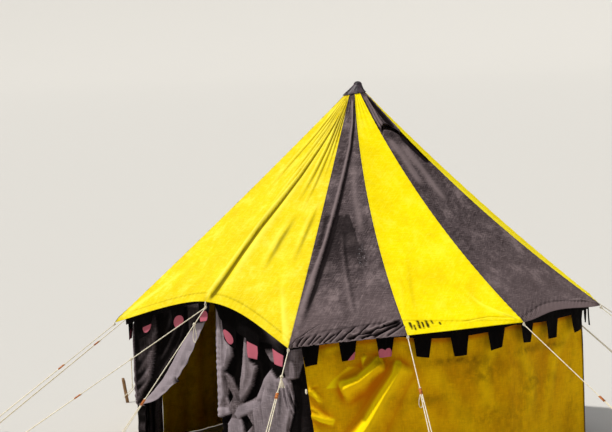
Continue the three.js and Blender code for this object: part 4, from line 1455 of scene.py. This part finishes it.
def toggle(name, height):
    """A pale wooden barrel that buttons the wall to the curtain, upright beside their seam."""
    place = blend_edge(COLOUR_EDGE)(height) - TOGGLE["from_seam"]
    middle = wall_line(np.array([place]))[0] + outward(place) * TOGGLE["stand"]
    middle[2] = 0
    rings = []
    for step in np.linspace(0, 1, TOGGLE["rows"]):
        waist = 1 - 0.18 * bell(step, 0.08, 0.5)
        reach = max(TOGGLE["radius"] * math.sin(math.pi * step) ** 0.4 * waist, 1e-4)
        level = height + TOGGLE["length"] * (step - 0.5)
        rings.append(middle + radial(around(TOGGLE["sides"]), reach, level))
    faces = ring_faces(len(rings), TOGGLE["sides"])
    dress(mesh_piece(name, np.concatenate(rings), faces, toggle_wood), None)


for number, toggle_height in enumerate(TOGGLE_HEIGHTS, 1):
    toggle(f"toggle_{number}", toggle_height)


# Tubes along routes, with strands where a rope is laid
def resampled(route, step):
    route = np.asarray(route, float)
    along = np.concatenate([[0], np.cumsum(np.linalg.norm(np.diff(route, axis=0), axis=1))])
    count = max(2, math.ceil(along[-1] / step) + 1)
    at = np.linspace(0, along[-1], count)
    return np.stack([np.interp(at, along, route[:, k]) for k in range(3)], -1), at


def crosswise(direction):
    """A level direction across a line, or any across an upright one."""
    return np.cross(direction, UP if abs(direction[2]) < 0.9 else np.array([1.0, 0, 0]))


STRANDS = 3


def tube(route, radius, step=0.012, sides=9, pitch=0.045):
    """Points, faces and strand marks of a laid rope, with closed ends."""
    line, at = resampled(route, step)
    tangent = np.gradient(line, axis=0)
    tangent /= np.linalg.norm(tangent, axis=1)[:, None]
    side = crosswise(tangent[0])
    angles = around(sides)
    points, marks = [], []
    for centre, direction, distance in zip(line, tangent, at):
        side = side - direction * (side @ direction)
        side = side / np.linalg.norm(side)
        lobes = np.cos(STRANDS * (angles - 2 * math.pi * distance / pitch))
        reach = radius * (0.88 + 0.12 * lobes)
        turned = np.outer(reach * np.sin(angles), np.cross(direction, side))
        points.append(centre + np.outer(reach * np.cos(angles), side) + turned)
        marks.append(np.stack([0.5 - 0.5 * lobes, np.full(sides, distance), np.zeros(sides)], -1))
    return np.concatenate(points), ring_faces(len(line), sides), np.concatenate(marks)


def joined(parts):
    """Several (points, faces, marks) as one."""
    points, faces, marks, first = [], [], [], 0
    for part_points, part_faces, part_marks in parts:
        points.append(part_points)
        marks.append(part_marks)
        faces += [tuple(index + first for index in face) for face in part_faces]
        first += len(part_points)
    return np.concatenate(points), faces, np.concatenate(marks)


def curve_through(route, count):
    """A smooth line through a few points."""
    route = np.asarray(route, float)
    padded = np.concatenate([[2 * route[0] - route[1]], route, [2 * route[-1] - route[-2]]])
    t = np.linspace(0, 1, count, endpoint=False)[:, None]
    pieces = []
    for a, b, c, d in zip(padded, padded[1:], padded[2:], padded[3:]):
        square, cube = 2 * a - 5 * b + 4 * c - d, 3 * b - a - 3 * c + d
        pieces.append(0.5 * (2 * b + (c - a) * t + square * t**2 + cube * t**3))
    return np.concatenate(pieces + [route[-1:]])


def wrapped_knot(middle, direction, radius, turns=3.5, length=0.03):
    """A few tight turns of rope round a line."""
    direction = direction / np.linalg.norm(direction)
    side = crosswise(direction)
    side /= np.linalg.norm(side)
    t = np.linspace(0, 1, 60)[:, None]
    angle = 2 * math.pi * turns * t
    swell = radius * (0.8 + 0.5 * np.sin(math.pi * t))
    round_line = (side * np.cos(angle) + np.cross(direction, side) * np.sin(angle)) * swell
    return tube(middle + direction * length * (t - 0.5) + round_line, ROPE_RADIUS * 0.8, step=0.006, sides=6)


def loose_end(name, route, radius):
    """A free end of rope that hangs from its knot, with its real length."""
    path = curve_through(route, 8)
    points, faces, marks = tube(path, radius, step=0.006, sides=7, pitch=0.03)
    piece = dress(mesh_piece(name, points, faces, hemp, {"cloth": marks}), None)


# Guy lines: the same frames as the solids'
def line_frame(corner, knot_drop, stake):
    stake = {**USUAL_STAKE, **stake}
    hem = roof_point(corner + 1e-9, hem_line(np.float64(corner)))
    top = hem - UP * (0.007 + GAP)
    knot = top - UP * knot_drop
    angle = math.atan2(hem[0], -hem[1]) + math.radians(stake["turn"])
    out = radial(angle, 1, 0)
    foot = top + out * stake["run"]
    foot[2] = 0
    side = np.array([math.cos(angle), math.sin(angle), 0])
    back = LOOP_HEIGHT * STAKE["lean"] + STAKE["width"] / 2
    clear = (ROPE_RADIUS + GAP) / math.cos(math.atan(STAKE["lean"]))
    loop = foot + out * (back + clear)
    loop[2] = LOOP_HEIGHT
    middle = knot + (loop - knot) * stake["slide"]
    return {"top": top, "knot": knot, "out": out, "foot": foot, "side": side, "loop": loop, "middle": middle}


def stake_loop(line):
    """The two legs from the slide and the bight round the stake."""
    half = line["side"] * (STAKE["width"] / 2 + ROPE_RADIUS + 3 * GAP)
    legs = line["side"] * LEG_SPREAD
    back = line["loop"] + line["out"] * ROPE_RADIUS * 0.2
    bend = curve_through([line["loop"] - half, back - half / 2, back + half / 2, line["loop"] + half], 6)
    return tube(np.concatenate([[line["middle"] - legs], bend, [line["middle"] + legs]]), ROPE_RADIUS)


def slide_piece(name, line):
    along = line["loop"] - line["knot"]
    along = along / np.linalg.norm(along)
    axes = (along, line["side"], np.cross(along, line["side"]), line["middle"])
    edit = bmesh.new()
    bmesh.ops.create_cube(edit, size=1)
    bmesh.ops.scale(edit, vec=(SLIDE["length"], SLIDE["width"], SLIDE["height"]), verts=edit.verts)
    bmesh.ops.bevel(edit, geom=edit.edges[:], offset=SLIDE["edge"], segments=3, affect="EDGES")
    mesh = bpy.data.meshes.new(name)
    edit.to_mesh(mesh)
    edit.free()
    mesh.transform(Matrix([[axis[k] for axis in axes] for k in range(3)] + [[0, 0, 0, 1]]))
    dress(mesh_object(mesh, slide_wood), None)


def guy_line(corner):
    """The becket, the line or lines from its eye, each with a slide and a loop, and the stakes."""
    knot_drop, stakes = GUY_LINES.get(corner, (BECKET, [{}]))
    label = "entrance" if corner == 0 else str(corner)
    lines = [line_frame(corner, knot_drop, stake) for stake in stakes]
    labels = [label] if len(lines) == 1 else [f"{label}_{number + 1}" for number in range(len(lines))]
    top, eye, side = (lines[0][key] for key in ("top", "knot", "side"))
    parts = []
    for sign in (-1, 1):
        swell = side * sign * BECKET_HALF
        loop = curve_through([top, 0.5 * (top + eye) + swell, eye], 10)
        parts.append(tube(loop, ROPE_RADIUS * 0.75, step=0.005, sides=7))
    parts.append(wrapped_knot(eye, lines[0]["middle"] - eye, KNOT_RADIUS["eye"]))
    for line_label, line in zip(labels, lines):
        run = line["middle"] - line["knot"]
        parts.append(tube([line["knot"], line["middle"]], ROPE_RADIUS))
        parts.append(stake_loop(line))
        past = line["middle"] - PAST_SLIDE * run / np.linalg.norm(run)
        parts.append(wrapped_knot(past, run, KNOT_RADIUS["slide"], 2.5, 0.02))
        slide_piece(f"slide_{line_label}", line)
    parts += [wrapped_knot(*knot) for knot in extra_knots(corner, lines)]
    points, faces, marks = joined(parts)
    piece = mesh_piece(f"guy_line_{label}_rope", points, faces, hemp, {"cloth": marks})
    dress(piece, f"guy_line_{label}")
    for line_label, line in zip(labels, lines):
        stake_piece(f"stake_{line_label}", line)


def on_line(line, share):
    return line["knot"] + share * (line["middle"] - line["knot"])


ENTRANCE_KNOTS = (0.18, 0.58)
TASSEL_KNOT = 0.58


def extra_knots(corner, lines):
    """Middle, direction and radius of the knots that only some lines have."""
    shares = {0: ENTRANCE_KNOTS, 1: (TASSEL_KNOT,)}.get(corner, ())
    return [
        (on_line(line, share), line["middle"] - line["knot"], KNOT_RADIUS["tail"])
        for line, share in zip(lines, shares)]


def hanging(spot, drop, sideways):
    """A route that falls from a spot and drifts sideways."""
    steps = ((0, 0), (0.05, 0.25), (0.5, 0.6), (0.85, 0.85), (1.0, 1.0))
    return [spot + sideways * drift - UP * drop * fall for drift, fall in steps]


def hanging_loop(spot, drop, half):
    """A route that falls from a spot, turns and comes back up to it."""
    steps = (
        (0, 0), (-0.6, 0.35), (-1, 0.75), (-0.4, 1), (0.5, 0.96), (1, 0.6), (0.3, 0.2), (0.1, 0.012 / drop))
    return [spot + half * drift - UP * drop * fall for drift, fall in steps]


def loose_ends():
    """The free ends that show: at both entrance ropes, a tassel on the first line, a loop on the second."""
    right, left = (line_frame(0, GUY_LINES[0][0], stake) for stake in GUY_LINES[0][1])
    first = line_frame(1, BECKET, GUY_LINES[1][1][0])
    second = line_frame(2, BECKET, {})
    spot = on_line(left, ENTRANCE_KNOTS[1])
    loose_end("entrance_tail_long", hanging(spot, 0.33, 0.02 * left["side"]), 0.007)
    spot = on_line(right, ENTRANCE_KNOTS[0])
    loose_end("entrance_tail_loop", hanging_loop(spot, 0.2, 0.028 * right["side"]), 0.005)
    for number in range(6):
        drift = 0.028 * math.cos(1.1 * number) * first["side"] + 0.024 * math.sin(1.1 * number) * first["out"]
        route = hanging(on_line(first, TASSEL_KNOT), 0.12, drift)
        loose_end(f"tassel_strand_{number + 1}", route, 0.0045)
    route = hanging_loop(second["middle"], 0.17, 0.022 * second["side"])
    loose_end("second_line_loop", route, 0.005)


def stake_piece(name, line):
    """A split stake: square, leaning away, its head worn round and its foot in the ground plane."""
    angles = around(16)
    rounded = 1 / np.maximum(np.abs(np.cos(angles)), np.abs(np.sin(angles))) ** 0.75
    rings = []
    for number, step in enumerate(np.linspace(0, 1, 9)):
        head = smooth_step(step, STAKE["worn_from"], 1.0) * STAKE["worn"]
        rough = 1 + STAKE["rough"] * np.sin(5 * angles + 2.1 * number)
        reach = STAKE["width"] / 2 * rounded * (1 - head) * rough
        up = STAKE["height"] * step
        middle = line["foot"] + line["out"] * STAKE["lean"] * up + UP * up * 0.999
        turned = np.outer(reach * np.sin(angles), line["side"])
        rings.append(middle + np.outer(reach * np.cos(angles), line["out"]) + turned)
    faces = ring_faces(len(rings), len(angles))
    dress(mesh_piece(name + "_wood", np.concatenate(rings), faces, stake_wood), name)


for line_corner in range(BAYS):
    guy_line(line_corner)
loose_ends()


# Cap and pole
CAP = {"tip": 0.047, "tip_height": 4.348, "round": 0.038, "rim": 0.97, "tilt": 0.145, "low_side": -50,
       "scallops": 0.05, "stand": 0.006, "hollow": 0.004, "leather": 0.004, "lean": 0.024, "lean_way": 139.5}


def cap():
    """A leather cone: a small rounded tip, slightly hollow sides, and a rim that hugs the gathered cloth."""
    angle = around(120)
    scallops = np.abs(np.cos(angle * BAYS / 2 + 0.3)) ** 0.7
    low_side = np.cos(angle - math.radians(CAP["low_side"]))
    rim_share = RIM * (CAP["rim"] + CAP["tilt"] * low_side + CAP["scallops"] * scallops)
    rim_radius = HEM_RADIUS * rim_share
    rim_height = PEAK_HEIGHT - (PEAK_HEIGHT - EAVE_HEIGHT) * rim_share + CAP["stand"] / SLOPE_UP
    lean = CAP["lean"] * radial(math.radians(CAP["lean_way"]), 1, 0)
    rings = []
    for turn in np.linspace(0, math.pi / 2, 8, endpoint=False):
        radius = max(CAP["tip"] * math.sin(turn), 1e-5)
        rings.append(radial(angle, radius, CAP["tip_height"] + CAP["round"] * math.cos(turn)) + lean)
    for step in np.linspace(0, 1, 44):
        radius = CAP["tip"] + (rim_radius - CAP["tip"]) * step
        height = CAP["tip_height"] + (rim_height - CAP["tip_height"]) * step
        wrinkle = 0.0022 * step * np.cos(angle * BAYS) + 0.003 * step * np.sin(3 * angle + 5 * step)
        stand = wrinkle - CAP["hollow"] * math.sin(math.pi * step)
        ring = radial(angle, radius, height) + off_slope(angle) * stand[:, None]
        rings.append(ring + lean * (1 - step) ** 1.5)
    faces = ring_faces(len(rings), len(angle), downward=True, closed=False)
    piece = mesh_piece("pole_cap_leather", np.concatenate(rings), faces, cap_leather)
    weld(piece, 1e-4)
    thicken(piece, CAP["leather"], 1)
    dress(piece, "pole_cap")


def pole():
    angle = around(40)
    rings = []
    for height in np.linspace(0, POLE_TOP, 30):
        rings.append(radial(angle, POLE_RADIUS * (0.985 + 0.012 * np.sin(3 * angle + 2 * height)), height))
    faces = ring_faces(len(rings), len(angle))
    piece = mesh_piece("centre_pole_wood", np.concatenate(rings), faces, pole_wood)
    dress(piece, "centre_pole")


cap()
pole()


# Floor, light and camera. The camera's place and turns are fitted to seven hem corners and the peak.
CAMERA = {"azimuth": 49.53, "distance": 28.536, "height": 5.255, "yaw": -1.29, "pitch": 4.91, "roll": -1.93}
FOCAL_PIXELS = 2400
PICTURE_WIDTH = 612
SENSOR = 36
SKY = {"colour": (0.96, 0.98, 1.0, 1), "strength": 0.28}
FLOOR_COLOUR = (0.56, 0.545, 0.52, 1)
FLOOR = {"flat": 160.0, "reach": 240.0, "rise": 90.0}


def floor():
    """A pale studio floor that turns up into a wall all round, far from the tent."""
    material, _, shader = start_material("floor", 0.9)
    shader.inputs["Base Color"].default_value = FLOOR_COLOUR
    angle = around(96)
    rings = []
    for turn in np.linspace(0, math.pi / 2, 25):
        reach = FLOOR["flat"] + (FLOOR["reach"] - FLOOR["flat"]) * math.sin(turn)
        rings.append(radial(angle, reach, FLOOR["rise"] * (1 - math.cos(turn))))
    faces = ring_faces(len(rings), len(angle), downward=True, closed=False) + [tuple(range(len(angle)))]
    mesh_piece("floor", np.concatenate(rings), faces, material)


def sun(name, azimuth, elevation, strength, spread, tint=(1, 1, 1)):
    lamp = bpy.data.lights.new(name, "SUN")
    lamp.energy = strength
    lamp.angle = math.radians(spread)
    lamp.color = tint
    level, height = math.cos(math.radians(elevation)), math.sin(math.radians(elevation))
    towards = Vector(radial(math.radians(azimuth), level, height))
    in_scene(name, lamp).rotation_euler = towards.to_track_quat("Z", "Y").to_euler()


def camera():
    azimuth, yaw, pitch, roll = (math.radians(CAMERA[key]) for key in ("azimuth", "yaw", "pitch", "roll"))
    forward = np.array([math.sin(yaw) * math.cos(pitch), math.cos(yaw) * math.cos(pitch), -math.sin(pitch)])
    right = np.array([math.cos(yaw), -math.sin(yaw), 0])
    up = np.cross(right, forward)
    rolled_right = right * math.cos(roll) + up * math.sin(roll)
    rolled_up = -right * math.sin(roll) + up * math.cos(roll)
    axes = np.array(Matrix.Rotation(azimuth, 3, "Z")) @ np.stack([rolled_right, rolled_up, -forward], -1)
    place = radial(azimuth, CAMERA["distance"], CAMERA["height"])
    lens = bpy.data.cameras.new("camera")
    lens.lens = FOCAL_PIXELS / PICTURE_WIDTH * SENSOR
    lens.sensor_width = SENSOR
    lens.sensor_fit = "HORIZONTAL"
    lens.clip_end = 1000
    holder = in_scene("camera", lens)
    holder.matrix_world = Matrix([[*axes[k], place[k]] for k in range(3)] + [[0, 0, 0, 1]])
    bpy.context.scene.camera = holder


def surroundings():
    world = bpy.data.worlds.new("studio")
    world.use_nodes = True
    background = world.node_tree.nodes["Background"]
    background.inputs["Color"].default_value = SKY["colour"]
    background.inputs["Strength"].default_value = SKY["strength"]
    bpy.context.scene.world = world
    bpy.context.scene.view_settings.view_transform = "Standard"


floor()
sun("key", -24, 58, 3.3, 4, (1.0, 0.98, 0.93))
sun("fill", 90, 78, 0.6, 40)
camera()
surroundings()
